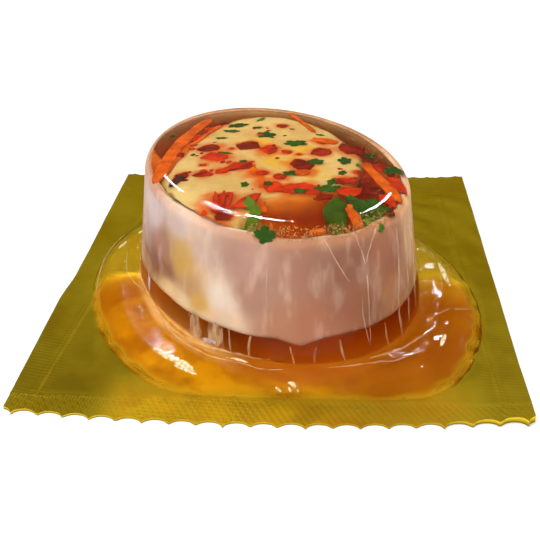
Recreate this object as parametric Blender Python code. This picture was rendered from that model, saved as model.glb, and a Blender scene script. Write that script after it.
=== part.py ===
"""Oval savoury jelly with a ham wall, sealed on a gold base sheet under a clear film.

Metres, +Z up. The gold sheet lies on the XY plane with its crimped ends at -Y and +Y,
and the origin is at the middle of its underside. The moulded oval stands on the sheet,
turned a little about Z, and every piece of it is built up from level rings that share
one set of angles, so that neighbours keep an even gap.
"""

import math

import bmesh
import bpy
from mathutils import Vector
from mathutils.geometry import tessellate_polygon

# Fit between neighbouring pieces
GAP = 0.0003

# Gold base sheet
SHEET_WIDTH = 0.130
SHEET_DEPTH = 0.154
SHEET_THICKNESS = 0.0005
FRONT_BOW = 0.0035
FRONT_PITCH = 0.00661
FRONT_FIRST_TIP = 0.0025
FRONT_BITE_DEPTH = 0.0022
BACK_PITCH = 0.0052
BACK_FIRST_TIP = 0.0026
BACK_BITE_DEPTH = 0.0013
BITE_STEPS = 4

# Clear film
FILM_THICKNESS = 0.0003

# Moulded oval: half axes of the sharp top outline, before its edge is rounded
OVAL_X = 0.0344
OVAL_Y = 0.0485
OVAL_CENTRE = (-0.0013, -0.0064)
OVAL_TURN = math.radians(25.7)
OVAL_TOP = 0.0412
DRAFT_ANGLE = math.radians(7.4)
SHOULDER_RADIUS = 0.0050
CROWN = 0.0007
FLOOR = SHEET_THICKNESS + GAP

# Ham wall
HAM_THICKNESS = 0.0030
HAM_TOP = 0.0390
HAM_LOW_MEAN = 0.0113
HAM_LOW_RISE = 0.0016
HAM_LOW_RISE_TOWARDS = math.radians(-20.0)
HAM_TONGUE = 0.0020
HAM_TONGUE_AT = math.radians(-109.0)
HAM_TONGUE_HALF = math.radians(9.0)
HAM_EDGE = 0.0004

# Jelly squeezed out round the foot
RIM_WIDTH = 0.0150
RIM_WIDTH_SWAY = 0.0040
RIM_WIDEST_TOWARDS = math.radians(-70.0)
RIM_CREASE_HEIGHT = 0.0042
RIM_SWELL = 0.0016
RIM_EDGE_HEIGHT = 0.0006
RIM_FRONT_LIMIT = -0.0648
RIM_SOFTNESS = 0.0030

# Mesh fineness
AROUND = 60
SHOULDER_STEPS = 4
RIM_STEPS = 6
TOP_RINGS = (0.86, 0.62, 0.34)


def clear_scene():
    """Remove every object that is already in the file."""
    for thing in list(bpy.data.objects):
        bpy.data.objects.remove(thing, do_unlink=True)


def angles():
    """Parameter angles shared by every ring of the moulded oval."""
    return [2.0 * math.pi * i / AROUND for i in range(AROUND)]


def wall_offset(z):
    """Outward offset of the tapered side wall at height z, from the sharp top outline."""
    return (OVAL_TOP - z) * math.tan(DRAFT_ANGLE)


def oval_point(angle, offset, z):
    """Point on the turned oval grown by offset, at height z."""
    along_x = (OVAL_X + offset) * math.cos(angle)
    along_y = (OVAL_Y + offset) * math.sin(angle)
    turn_cos = math.cos(OVAL_TURN)
    turn_sin = math.sin(OVAL_TURN)
    x = OVAL_CENTRE[0] + turn_cos * along_x - turn_sin * along_y
    y = OVAL_CENTRE[1] + turn_sin * along_x + turn_cos * along_y
    return Vector((x, y, z))


def oval_ring(offset, z):
    """Level ring of the oval grown by offset."""
    return [oval_point(angle, offset, z) for angle in angles()]


def wall_ring(grow, height_of):
    """Ring on the side wall, where height_of gives its height at each angle."""
    ring = []
    for angle in angles():
        z = height_of(angle)
        ring.append(oval_point(angle, wall_offset(z) + grow, z))
    return ring


def shoulder_centre():
    """Offset and height of the centre of the rounded top edge's arc."""
    lean = math.sin(DRAFT_ANGLE)
    offset = -SHOULDER_RADIUS * (1.0 - lean) / math.cos(DRAFT_ANGLE)
    return offset, OVAL_TOP - SHOULDER_RADIUS


def shoulder_start():
    """Height where the side wall turns into the rounded top edge."""
    return shoulder_centre()[1] + SHOULDER_RADIUS * math.sin(DRAFT_ANGLE)


def shoulder_offset(z):
    """Outward offset of the side and its rounded top edge at height z."""
    if z <= shoulder_start():
        return wall_offset(z)
    centre_offset, centre_z = shoulder_centre()
    rise = min(z - centre_z, SHOULDER_RADIUS)
    return centre_offset + math.sqrt(SHOULDER_RADIUS ** 2 - rise ** 2)


def shoulder_rings(grow):
    """Rings round the top edge, from the side wall up to the crowned top."""
    centre_offset, centre_z = shoulder_centre()
    radius = SHOULDER_RADIUS + grow
    rings = []
    for step in range(SHOULDER_STEPS + 1):
        share = step / SHOULDER_STEPS
        slope = DRAFT_ANGLE + share * (0.5 * math.pi - DRAFT_ANGLE)
        offset = centre_offset + radius * math.cos(slope)
        rings.append(oval_ring(offset, centre_z + radius * math.sin(slope)))
    return rings


def top_rings(edge_ring):
    """Rings that close the crowned top inside edge_ring, and its middle point."""
    centre = Vector((OVAL_CENTRE[0], OVAL_CENTRE[1], edge_ring[0].z))
    rings = []
    for share in TOP_RINGS:
        rise = Vector((0.0, 0.0, CROWN * (1.0 - share * share)))
        rings.append([centre + (point - centre) * share + rise for point in edge_ring])
    return rings, centre + Vector((0.0, 0.0, CROWN))


def ham_low(angle):
    """Height of the ham's lower edge, with the tongue where its slice overlaps."""
    heading = angle + OVAL_TURN
    rise = HAM_LOW_RISE * math.cos(heading - HAM_LOW_RISE_TOWARDS)
    away = math.remainder(angle - HAM_TONGUE_AT, 2.0 * math.pi)
    tongue = HAM_TONGUE * max(0.0, 1.0 - abs(away) / HAM_TONGUE_HALF)
    return HAM_LOW_MEAN + rise - tongue


def rim_edge_point(angle, grow, z):
    """Point on the outer edge of the squeezed-out jelly, held back by the front seal."""
    heading = angle + OVAL_TURN
    width = RIM_WIDTH + RIM_WIDTH_SWAY * math.cos(heading - RIM_WIDEST_TOWARDS)
    point = oval_point(angle, wall_offset(FLOOR) + width, z)
    past = (RIM_FRONT_LIMIT - point.y) / RIM_SOFTNESS
    point.y += RIM_SOFTNESS * math.log1p(math.exp(past))
    outward = Vector((point.x - OVAL_CENTRE[0], point.y - OVAL_CENTRE[1], 0.0))
    return point + outward.normalized() * grow


def rim_height(share):
    """Height of the squeezed-out jelly, from its foot crease (0) to its edge (1)."""
    slope = RIM_CREASE_HEIGHT + (RIM_EDGE_HEIGHT - RIM_CREASE_HEIGHT) * share ** 1.6
    return FLOOR + slope + RIM_SWELL * math.sin(math.pi * share ** 0.8)


def rim_rings(inner_grow, outer_grow, lift):
    """Top rings of the squeezed-out jelly, from its outer edge in to the foot crease."""
    rings = []
    crease_z = rim_height(0.0) + lift
    for step in range(RIM_STEPS + 1):
        share = 1.0 - step / RIM_STEPS
        z = rim_height(share) + lift
        ring = []
        for angle in angles():
            inside = oval_point(angle, wall_offset(crease_z) + inner_grow, z)
            outside = rim_edge_point(angle, outer_grow, z)
            ring.append(inside.lerp(outside, share))
        rings.append(ring)
    return rings


def add_ring(mesh, points):
    """Add a ring of vertices."""
    return [mesh.verts.new(point) for point in points]


def bridge(mesh, lower, upper):
    """Join two rings of equal count with quads that face outward."""
    count = len(lower)
    for i in range(count):
        j = (i + 1) % count
        mesh.faces.new((lower[i], lower[j], upper[j], upper[i]))


def close_fan(mesh, ring, point, upward):
    """Close a ring with a fan of triangles about a middle point."""
    hub = mesh.verts.new(point)
    count = len(ring)
    for i in range(count):
        j = (i + 1) % count
        corners = (ring[i], ring[j], hub) if upward else (ring[j], ring[i], hub)
        mesh.faces.new(corners)


def finish_object(name, mesh, material, smooth_angle):
    """Turn a finished bmesh into a named, shaded object with its material."""
    bmesh.ops.recalc_face_normals(mesh, faces=mesh.faces[:])
    data = bpy.data.meshes.new(name)
    mesh.to_mesh(data)
    mesh.free()
    data.materials.append(material)
    data.shade_smooth()
    data.set_sharp_from_angle(angle=smooth_angle)
    thing = bpy.data.objects.new(name, data)
    bpy.context.scene.collection.objects.link(thing)
    return thing


def make_material(name, colour, roughness, metallic=0.0, transmission=0.0):
    """Principled material with one colour."""
    material = bpy.data.materials.new(name)
    material.use_nodes = True
    shader = material.node_tree.nodes["Principled BSDF"]
    shader.inputs["Base Color"].default_value = (*colour, 1.0)
    shader.inputs["Roughness"].default_value = roughness
    shader.inputs["Metallic"].default_value = metallic
    shader.inputs["Transmission Weight"].default_value = transmission
    return material


def bite_depth(along, pitch, first_tip, depth):
    """How far a round bite reaches in, at a distance along the cut end."""
    share = ((along - first_tip) / pitch) % 1.0
    across = 2.0 * share - 1.0
    return depth * math.sqrt(max(0.0, 1.0 - across * across))


def bite_stations(pitch, first_tip):
    """Distances along a cut end, from corner to corner, with one at every tip."""
    step = pitch / BITE_STEPS
    start = math.ceil(-first_tip / step)
    stations = [0.0]
    along = first_tip + start * step
    while along < SHEET_WIDTH - 0.1 * step:
        if along > 0.1 * step:
            stations.append(along)
        start += 1
        along = first_tip + start * step
    stations.append(SHEET_WIDTH)
    return stations


def sheet_outline():
    """Outline of the sheet, run anticlockwise from the front left corner."""
    half_width = 0.5 * SHEET_WIDTH
    front = []
    for along in bite_stations(FRONT_PITCH, FRONT_FIRST_TIP):
        across = 2.0 * along / SHEET_WIDTH - 1.0
        tip_y = -0.5 * SHEET_DEPTH + FRONT_BOW * across * across
        bite = bite_depth(along, FRONT_PITCH, FRONT_FIRST_TIP, FRONT_BITE_DEPTH)
        front.append((along - half_width, tip_y + bite))
    back = []
    for along in bite_stations(BACK_PITCH, BACK_FIRST_TIP):
        bite = bite_depth(along, BACK_PITCH, BACK_FIRST_TIP, BACK_BITE_DEPTH)
        back.append((half_width - along, 0.5 * SHEET_DEPTH - bite))
    return front + back


def build_gold_base(material):
    """Gold sheet, flat underneath, with crimp-cut scalloped ends."""
    mesh = bmesh.new()
    outline = sheet_outline()
    lower = add_ring(mesh, [Vector((x, y, 0.0)) for x, y in outline])
    upper = add_ring(mesh, [Vector((x, y, SHEET_THICKNESS)) for x, y in outline])
    bridge(mesh, lower, upper)
    flat = [Vector((x, y, 0.0)) for x, y in outline]
    for a, b, c in tessellate_polygon([flat]):
        mesh.faces.new((upper[a], upper[b], upper[c]))
        mesh.faces.new((lower[c], lower[b], lower[a]))
    return finish_object("gold_base", mesh, material, math.radians(30.0))


def build_jelly_rim(material):
    """Ring of jelly squeezed out round the foot of the block, flat on the sheet."""
    mesh = bmesh.new()
    foot = oval_ring(wall_offset(FLOOR) + GAP, FLOOR)
    edge = [rim_edge_point(angle, 0.0, FLOOR) for angle in angles()]
    rings = [add_ring(mesh, foot), add_ring(mesh, edge)]
    for ring in rim_rings(GAP, 0.0, 0.0):
        rings.append(add_ring(mesh, ring))
    for lower, upper in zip(rings, rings[1:]):
        bridge(mesh, lower, upper)
    bridge(mesh, rings[-1], rings[0])
    return finish_object("jelly_rim", mesh, material, math.radians(50.0))


def build_jelly_block(material):
    """Jelly of the foot, the core inside the ham wall and the rounded cap, in one piece."""
    mesh = bmesh.new()
    groove = -(HAM_THICKNESS + GAP)
    seat_top = HAM_TOP + GAP
    rings = [oval_ring(wall_offset(FLOOR), FLOOR)]
    rings.append(wall_ring(0.0, lambda angle: ham_low(angle) - GAP))
    rings.append(wall_ring(groove, lambda angle: ham_low(angle) - GAP))
    rings.append(oval_ring(wall_offset(seat_top) + groove, seat_top))
    rings.append(oval_ring(shoulder_offset(seat_top), seat_top))
    rings.extend(ring for ring in shoulder_rings(0.0) if ring[0].z > seat_top + GAP)
    top, middle = top_rings(rings[-1])
    rings.extend(top)
    made = [add_ring(mesh, ring) for ring in rings]
    for lower, upper in zip(made, made[1:]):
        bridge(mesh, lower, upper)
    close_fan(mesh, made[-1], middle, upward=True)
    floor_middle = Vector((OVAL_CENTRE[0], OVAL_CENTRE[1], FLOOR))
    close_fan(mesh, made[0], floor_middle, upward=False)
    return finish_object("jelly_block", mesh, material, math.radians(40.0))


def build_ham_wall(material):
    """Band of cooked ham set flush in the block's side, open above and below."""
    mesh = bmesh.new()
    inner = -HAM_THICKNESS
    bend_z = shoulder_start()
    half_way = 0.5 * (bend_z + HAM_TOP)
    inner_top_offset = wall_offset(HAM_TOP) + inner
    rings = [
        wall_ring(inner, ham_low),
        wall_ring(-HAM_EDGE, ham_low),
        wall_ring(0.0, lambda angle: ham_low(angle) + HAM_EDGE),
        oval_ring(wall_offset(bend_z), bend_z),
        oval_ring(shoulder_offset(half_way), half_way),
        oval_ring(shoulder_offset(HAM_TOP - HAM_EDGE), HAM_TOP - HAM_EDGE),
        oval_ring(shoulder_offset(HAM_TOP) - HAM_EDGE, HAM_TOP),
        oval_ring(inner_top_offset, HAM_TOP),
    ]
    made = [add_ring(mesh, ring) for ring in rings]
    for lower, upper in zip(made, made[1:]):
        bridge(mesh, lower, upper)
    bridge(mesh, made[-1], made[0])
    return finish_object("ham_wall", mesh, material, math.radians(40.0))


def film_surface(grow, margin_z):
    """Rings of one face of the film, from the flat margin in and up over the block."""
    rings = [[rim_edge_point(angle, grow, margin_z) for angle in angles()]]
    rings.extend(rim_rings(grow, grow, grow))
    rings.extend(shoulder_rings(grow))
    top, middle = top_rings(rings[-1])
    rings.extend(top)
    return rings, middle


def build_clear_film(material):
    """Clear film drawn down over the block and the squeezed-out jelly, open below.

    Its flat margin covers the sheet out to the scalloped ends.
    """
    mesh = bmesh.new()
    under_z = SHEET_THICKNESS + GAP
    over_z = under_z + FILM_THICKNESS
    outline = sheet_outline()
    margins = []
    for grow, margin_z, upward in ((GAP, under_z, False), (GAP + FILM_THICKNESS, over_z, True)):
        rings, middle = film_surface(grow, margin_z)
        made = [add_ring(mesh, ring) for ring in rings]
        for lower, upper in zip(made, made[1:]):
            if upward:
                bridge(mesh, lower, upper)
            else:
                bridge(mesh, upper, lower)
        close_fan(mesh, made[-1], middle, upward)
        edge = add_ring(mesh, [Vector((x, y, margin_z)) for x, y in outline])
        hole = made[0]
        flat_edge = [Vector((vert.co.x, vert.co.y, 0.0)) for vert in edge]
        flat_hole = [Vector((vert.co.x, vert.co.y, 0.0)) for vert in hole]
        corners = edge + hole
        for a, b, c in tessellate_polygon([flat_edge, flat_hole]):
            mesh.faces.new((corners[a], corners[b], corners[c]))
        margins.append(edge)
    bridge(mesh, margins[0], margins[1])
    return finish_object("clear_film", mesh, material, math.radians(40.0))


def main():
    """Build every piece."""
    clear_scene()
    gold = make_material("gold foil", (0.40, 0.27, 0.045), 0.22, metallic=1.0)
    film = make_material("clear film", (1.0, 1.0, 1.0), 0.05, transmission=1.0)
    amber = make_material("amber jelly", (0.62, 0.20, 0.012), 0.10, transmission=0.6)
    rim = make_material("squeezed jelly", (0.68, 0.27, 0.02), 0.10, transmission=0.6)
    ham = make_material("cooked ham", (0.66, 0.40, 0.33), 0.45)
    build_gold_base(gold)
    build_jelly_rim(rim)
    build_jelly_block(amber)
    build_ham_wall(ham)
    build_clear_film(film)


if __name__ == "__main__":
    main()
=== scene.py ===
"""Oval savoury jelly with a ham wall, sealed on a gold base sheet under a clear film.

Metres, +Z up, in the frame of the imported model: the gold sheet lies on the XY plane with
its deeply scalloped end at -Y, and the moulded oval stands on it, turned a little about Z.
"""

import logging
import math
from dataclasses import dataclass, field
from enum import Enum

import bmesh
import bpy
import numpy as np
from mathutils import Matrix, Vector, noise
from mathutils.bvhtree import BVHTree


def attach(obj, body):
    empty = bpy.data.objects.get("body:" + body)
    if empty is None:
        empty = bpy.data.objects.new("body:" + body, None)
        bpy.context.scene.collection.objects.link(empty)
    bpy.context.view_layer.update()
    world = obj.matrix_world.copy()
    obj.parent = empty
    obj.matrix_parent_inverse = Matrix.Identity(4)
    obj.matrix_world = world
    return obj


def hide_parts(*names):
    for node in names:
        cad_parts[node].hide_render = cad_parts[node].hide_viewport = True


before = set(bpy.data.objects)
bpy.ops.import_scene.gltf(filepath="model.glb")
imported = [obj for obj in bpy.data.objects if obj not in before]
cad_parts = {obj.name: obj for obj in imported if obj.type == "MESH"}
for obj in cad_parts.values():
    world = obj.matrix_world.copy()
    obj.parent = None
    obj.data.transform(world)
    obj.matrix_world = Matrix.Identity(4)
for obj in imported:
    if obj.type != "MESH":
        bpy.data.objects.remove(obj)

LOG = logging.getLogger("jelly")
MM = 0.001
Colour = tuple[float, float, float]


# ---------------------------------------------------------------- small helpers


def smooth_step(low: float, high: float, value: np.ndarray) -> np.ndarray:
    """Rise smoothly from 0 at low to 1 at high.

    Args:
        low: Value where the rise starts.
        high: Value where it ends, which may be less than low.
        value: Values to map.

    Returns:
        Values from 0 to 1.
    """
    share = np.clip((value - low) / (high - low), 0.0, 1.0)
    return share * share * (3.0 - 2.0 * share)


def bell(distance: np.ndarray, width: float) -> np.ndarray:
    """Bell curve, 1 at no distance and small beyond width."""
    return np.exp(-((distance / width) ** 2))


def lumps(points: np.ndarray, size: float, shift: float = 0.0) -> np.ndarray:
    """Smooth noise at points.

    Args:
        points: Array of positions, (..., 3).
        size: Size of one lump in metres.
        shift: Offset that gives another pattern.

    Returns:
        Noise from about -1 to 1, one value a point.
    """
    flat = points.reshape(-1, 3) / size + shift
    values = [noise.noise(Vector(point)) for point in flat.tolist()]
    return np.array(values).reshape(points.shape[:-1])


def to_line(points: np.ndarray, path: np.ndarray) -> tuple[np.ndarray, np.ndarray]:
    """Distance from points to a path of straight runs.

    Args:
        points: Array of positions, (..., 3).
        path: Corners of the path, (count, 3).

    Returns:
        The distances, and how far along the path the nearest place is, from 0 to 1.
    """
    best = np.full(points.shape[:-1], 1e9)
    along = np.zeros(points.shape[:-1])
    runs = np.linalg.norm(np.diff(path, axis=0), axis=1)
    total = runs.sum()
    before = 0.0
    for start, end, run in zip(path[:-1], path[1:], runs):
        span = end - start
        share = np.clip(((points - start) @ span) / max(run * run, 1e-12), 0.0, 1.0)
        gap = np.linalg.norm(points - start - share[..., None] * span, axis=-1)
        nearer = gap < best
        best = np.where(nearer, gap, best)
        along = np.where(nearer, (before + share * run) / total, along)
        before += run
    return best, along


class MeshWork:
    """Collects rings and faces, then turns them into one object."""

    def __init__(self) -> None:
        """Start with nothing."""
        self._points: list[np.ndarray] = []
        self._quads: list[np.ndarray] = []
        self._others: list[tuple[int, ...]] = []
        self._count = 0

    def add(self, points: np.ndarray) -> np.ndarray:
        """Add points of any array shape and return their numbers in that shape."""
        points = np.asarray(points, float)
        flat = points.reshape(-1, 3)
        numbers = np.arange(self._count, self._count + len(flat))
        self._points.append(flat)
        self._count += len(flat)
        return numbers.reshape(points.shape[:-1])

    def sheet(self, grid: np.ndarray, wrap: bool, flip: bool = False) -> None:
        """Fill a grid of point numbers with quads.

        Args:
            grid: Numbers, one row a ring.
            wrap: Whether each row closes on itself.
            flip: Whether the faces look the other way.
        """
        lower, upper = grid[:-1], grid[1:]
        if wrap:
            corners = (lower, np.roll(lower, -1, 1), np.roll(upper, -1, 1), upper)
        else:
            corners = (lower[:, :-1], lower[:, 1:], upper[:, 1:], upper[:, :-1])
        quads = np.stack([corner.reshape(-1) for corner in corners], axis=1)
        self._quads.append(quads[:, ::-1] if flip else quads)

    def fan(self, ring: np.ndarray, hub: np.ndarray, flip: bool = False) -> None:
        """Close a ring with triangles about a hub point."""
        centre = int(self.add(hub[None, :])[0])
        after = np.roll(ring, -1)
        for one, two in zip(ring.tolist(), after.tolist()):
            self._others.append((two, one, centre) if flip else (one, two, centre))

    def face(self, numbers: np.ndarray) -> None:
        """Add one face with any number of corners."""
        self._others.append(tuple(int(n) for n in numbers))

    def make(self, name: str, material: bpy.types.Material, check: bool = True) -> bpy.types.Object:
        """Make the object, smooth shaded.

        Args:
            name: Name of the object.
            material: Its finish.
            check: Whether to turn every face outward.

        Returns:
            The new object.
        """
        faces = [tuple(row) for block in self._quads for row in block.tolist()]
        faces.extend(self._others)
        data = bpy.data.meshes.new(name)
        data.from_pydata(np.concatenate(self._points).tolist(), [], faces)
        if check:
            work = bmesh.new()
            work.from_mesh(data)
            bmesh.ops.recalc_face_normals(work, faces=work.faces[:])
            work.to_mesh(data)
            work.free()
        data.materials.append(material)
        data.shade_smooth()
        thing = bpy.data.objects.new(name, data)
        bpy.context.scene.collection.objects.link(thing)
        return thing


def settle(thing: bpy.types.Object, slot: str, *nodes: str) -> bpy.types.Object:
    """Let a piece ride on the pack and hide the CAD nodes that it stands for.

    Args:
        thing: The piece.
        slot: Name of a material slot, or an empty string; not used.
        nodes: CAD nodes that it stands for.

    Returns:
        The same piece.
    """
    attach(thing, "root")
    if nodes:
        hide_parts(*nodes)
    return thing


def mark_points(thing: bpy.types.Object, name: str, values: np.ndarray) -> None:
    """Store one number, or one colour, for each point of a piece.

    Args:
        thing: The piece.
        name: Name of the mark, which its finish reads.
        values: One value a point, or one red, green and blue a point.
    """
    count = len(thing.data.vertices)
    if values.ndim == 1:
        full = np.zeros(count)
        full[: len(values)] = values
        thing.data.attributes.new(name, "FLOAT", "POINT").data.foreach_set("value", full)
        return
    full = np.ones((count, 4))
    full[:, :3] = values[-1]
    full[: len(values), :3] = values
    thing.data.attributes.new(name, "FLOAT_COLOR", "POINT").data.foreach_set("color", full.ravel())


# ---------------------------------------------------------------- finishes


class Board:
    """Node tree of one material, with short calls to fill it."""

    def __init__(self, name: str) -> None:
        """Start a material with only its output.

        Args:
            name: Name of the material.
        """
        self.material = bpy.data.materials.new(name)
        self.material.use_nodes = True
        self.tree = self.material.node_tree
        self.tree.nodes.clear()
        self.output = self.tree.nodes.new("ShaderNodeOutputMaterial")
        self._place: bpy.types.NodeSocket | None = None

    def node(self, kind: str, settings: dict | None = None, **sockets: object) -> bpy.types.Node:
        """Add a node.

        Args:
            kind: Blender's type name without its ShaderNode prefix.
            settings: Values for the node's own properties.
            sockets: Input values or sockets to link, by name with _ for a space, or by number.

        Returns:
            The new node.
        """
        made = self.tree.nodes.new("ShaderNode" + kind)
        for key, value in (settings or {}).items():
            setattr(made, key, value)
        for key, value in sockets.items():
            name = key.replace("_", " ")
            socket = made.inputs[int(key[1:])] if key[0] == "i" and key[1:].isdigit() else made.inputs[name]
            if isinstance(value, bpy.types.NodeSocket):
                self.tree.links.new(value, socket)
            else:
                socket.default_value = value
        return made

    def place(self) -> bpy.types.NodeSocket:
        """Position on the object, in metres."""
        if self._place is None:
            self._place = self.node("TexCoord").outputs["Object"]
        return self._place

    def maths(self, operation: str, one: object, two: object = 0.0, three: object = 0.0) -> bpy.types.NodeSocket:
        """Result of one Math node."""
        return self.node("Math", {"operation": operation}, i0=one, i1=two, i2=three).outputs[0]

    def rise(self, value: object, low: float, high: float) -> bpy.types.NodeSocket:
        """Smooth rise from 0 to 1 between two values."""
        settings = {"interpolation_type": "SMOOTHSTEP"}
        return self.node("MapRange", settings, Value=value, From_Min=low, From_Max=high).outputs[0]

    def noise(self, scale: float, detail: float = 3.0, roughness: float = 0.5, shift: float = 0.0) -> bpy.types.NodeSocket:
        """Noise value on the object; scale is lumps a metre."""
        at = self.place()
        if shift:
            at = self.node("VectorMath", {"operation": "ADD"}, i0=at, i1=(shift, shift, shift)).outputs[0]
        made = self.node("TexNoise", None, Vector=at, Scale=scale, Detail=detail, Roughness=roughness)
        return made.outputs["Fac"]

    def blend(self, factor: object, one: object, two: object) -> bpy.types.NodeSocket:
        """Mix of two colours."""
        made = self.node("Mix", {"data_type": "RGBA"})
        for socket, value in ((made.inputs[0], factor), (made.inputs[6], one), (made.inputs[7], two)):
            if isinstance(value, bpy.types.NodeSocket):
                self.tree.links.new(value, socket)
            elif isinstance(value, tuple):
                socket.default_value = (*value, 1.0)
            else:
                socket.default_value = value
        return made.outputs[2]

    def bump(self, height: object, distance: float, strength: float = 1.0, under: object = None) -> bpy.types.NodeSocket:
        """Normal from a height of 0 to 1 over distance metres."""
        made = self.node("Bump", None, Height=height, Distance=distance, Strength=strength)
        if under is not None:
            self.tree.links.new(under, made.inputs["Normal"])
        return made.outputs[0]

    def finish(self, surface: bpy.types.NodeSocket, volume: bpy.types.NodeSocket | None = None) -> bpy.types.Material:
        """Link the shader to the output and return the material."""
        self.tree.links.new(surface, self.output.inputs["Surface"])
        if volume is not None:
            self.tree.links.new(volume, self.output.inputs["Volume"])
        return self.material


@dataclass(frozen=True)
class GoldFoil:
    """Metallised gold laminate, with cross-hatched crimping along its seals. Under the jelly it turns amber, with
    painted shade towards the rim's sides and under the block, painted light on the block's left, and painted shade on
    the sheet's cut side faces.
    """

    colour: Colour = (0.86, 0.62, 0.030)
    deep: Colour = (0.70, 0.46, 0.018)
    wet: Colour = (0.62, 0.32, 0.006)
    wet_deep: Colour = (0.30, 0.095, 0.002)
    # Painted light and shade: the next colour is painted shade under the block, the one after it painted light on the
    # block's left, and the third painted shade on the sheet's cut side faces.
    shaded: Colour = (0.52, 0.22, 0.020)
    painted_light_left: Colour = (1.0, 0.80, 0.50)
    painted_shade_cut_edge: Colour = (0.20, 0.12, 0.006)
    roughness: float = 0.11
    wet_roughness: float = 0.40
    wet_metal: float = 0.25
    pitch: float = 1.5 * MM
    front_seal: float = -65.7 * MM
    back_seal: float = 63.5 * MM

    def _stripes(self, board: Board, along: tuple[float, float], pitch: float) -> bpy.types.NodeSocket:
        """Straight waves across the sheet.

        Args:
            board: The material's board.
            along: Direction across the waves, in plan.
            pitch: Distance between two waves.

        Returns:
            Height from -1 to 1.
        """
        size = math.hypot(*along)
        wave = 2.0 * math.pi / pitch
        aim = (along[0] / size * wave, along[1] / size * wave, 0.0)
        turned = board.node("VectorMath", {"operation": "DOT_PRODUCT"}, i0=board.place(), i1=aim)
        return board.maths("SINE", turned.outputs["Value"])

    def make(self) -> bpy.types.Material:
        """Build the material.

        Returns:
            The finished material.
        """
        board = Board("gold foil")
        axes = board.node("SeparateXYZ", None, Vector=board.place())
        x, y = axes.outputs[0], axes.outputs[1]
        front = board.rise(y, self.front_seal, self.front_seal - 0.8 * MM)
        back = board.rise(y, self.back_seal, self.back_seal + 0.8 * MM)
        ends = board.maths("MAXIMUM", front, back)
        lean = self._stripes(board, (6.3, 3.3), self.pitch)
        cross = self._stripes(board, (-5.0, 4.2), self.pitch)
        fine = self._stripes(board, (0.3, 1.0), 0.8 * MM)
        dotted = board.maths("MULTIPLY", lean, cross)
        left = board.rise(x, 5 * MM, -8 * MM)
        pattern = board.maths("MULTIPLY_ADD", board.maths("MULTIPLY", dotted, left), 0.5, board.maths("MULTIPLY", lean, 0.35))
        pattern = board.maths("MULTIPLY_ADD", fine, 0.12, pattern)
        crimp = board.maths("MULTIPLY", pattern, ends)
        side = board.rise(board.maths("ABSOLUTE", x), 54 * MM, 56 * MM)
        beads = board.maths("MULTIPLY", self._stripes(board, (0.2, 1.0), 1.3 * MM), side)
        height = board.maths("MULTIPLY_ADD", beads, 0.12, crimp)
        normal = board.bump(height, 0.12 * MM, 0.65)
        normal = board.bump(board.noise(260.0, 3.0), 0.08 * MM, 0.5, normal)
        tint = board.noise(38.0, 4.0, 0.6)
        colour = board.blend(board.rise(tint, 0.3, 0.7), self.deep, self.colour)
        smudge = board.noise(90.0, 4.0, 0.6, 3.0)
        rough = board.maths("MULTIPLY_ADD", smudge, 0.08, self.roughness - 0.04)
        under = board.node("Attribute", {"attribute_name": "under_food"}).outputs["Fac"]
        patchy = board.rise(board.noise(75.0, 4.0, 0.55, 5.0), 0.32, 0.66)
        # Painted shade: towards both sides of the rim, away from x = -12 mm, the wet gold turns to its deep colour.
        painted_shade_sides = board.rise(board.maths("ABSOLUTE", board.maths("ADD", x, 12 * MM)), 14 * MM, 42 * MM)
        patchy = board.maths("MULTIPLY", patchy, board.maths("MULTIPLY_ADD", painted_shade_sides, -0.85, 1.0))
        patchy = board.maths("MULTIPLY_ADD", board.maths("SUBTRACT", 1.0, painted_shade_sides), 0.30, patchy)
        wet = board.blend(patchy, self.wet_deep, self.wet)
        below = board.node("Attribute", {"attribute_name": "under_block"}).outputs["Fac"]
        # Painted shade under the block, paler towards its left as painted light.
        shaded = board.blend(board.rise(x, -5 * MM, -19 * MM), self.shaded, self.painted_light_left)
        colour = board.blend(under, colour, board.blend(below, wet, shaded))
        # Painted shade on the sheet's cut side faces, which the cut attribute marks.
        cut = board.node("Attribute", {"attribute_name": "cut"}).outputs["Fac"]
        colour = board.blend(cut, colour, self.painted_shade_cut_edge)
        rough = board.maths("MULTIPLY_ADD", under, self.wet_roughness - self.roughness, rough)
        metal = board.maths("MULTIPLY_ADD", under, self.wet_metal - 1.0, 1.0)
        shader = board.node("BsdfPrincipled", None, Base_Color=colour, Roughness=rough, Metallic=metal, Normal=normal)
        shader.inputs["Specular IOR Level"].default_value = 0.04
        shader.inputs["Specular Tint"].default_value = (1.0, 0.85, 0.45, 1.0)
        return board.finish(shader.outputs[0])


@dataclass(frozen=True)
class FilmFinish:
    """Thin clear glossy film: light goes straight through, and its outside reflects."""

    facing_on: float = 0.008
    glancing: float = 0.22
    roughness: float = 0.035
    tint: Colour = (0.985, 0.98, 0.965)

    def make(self) -> bpy.types.Material:
        """Build the material.

        Returns:
            The finished material.
        """
        board = Board("clear film")
        fine = board.bump(board.noise(520.0, 2.0), 0.05 * MM, 0.15)
        facing = board.node("LayerWeight", None, Blend=0.5, Normal=fine).outputs["Facing"]
        steep = board.maths("POWER", facing, 5.0)
        gloss = board.maths("MULTIPLY_ADD", steep, self.glancing, self.facing_on)
        behind = board.node("NewGeometry").outputs["Backfacing"]
        gloss = board.maths("MULTIPLY", gloss, board.maths("SUBTRACT", 1.0, behind))
        sealed = board.node("Attribute", {"attribute_name": "sealed"}).outputs["Fac"]
        gloss = board.maths("MULTIPLY", gloss, board.maths("SUBTRACT", 1.0, sealed))
        clear = board.node("BsdfTransparent", None, Color=(*self.tint, 1.0))
        shine = board.node("BsdfAnisotropic", None, Color=(1.0, 1.0, 1.0, 1.0), Roughness=self.roughness, Normal=fine)
        mixed = board.node("MixShader", None, i0=gloss, i1=clear.outputs[0], i2=shine.outputs[0])
        return board.finish(mixed.outputs[0])


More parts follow.
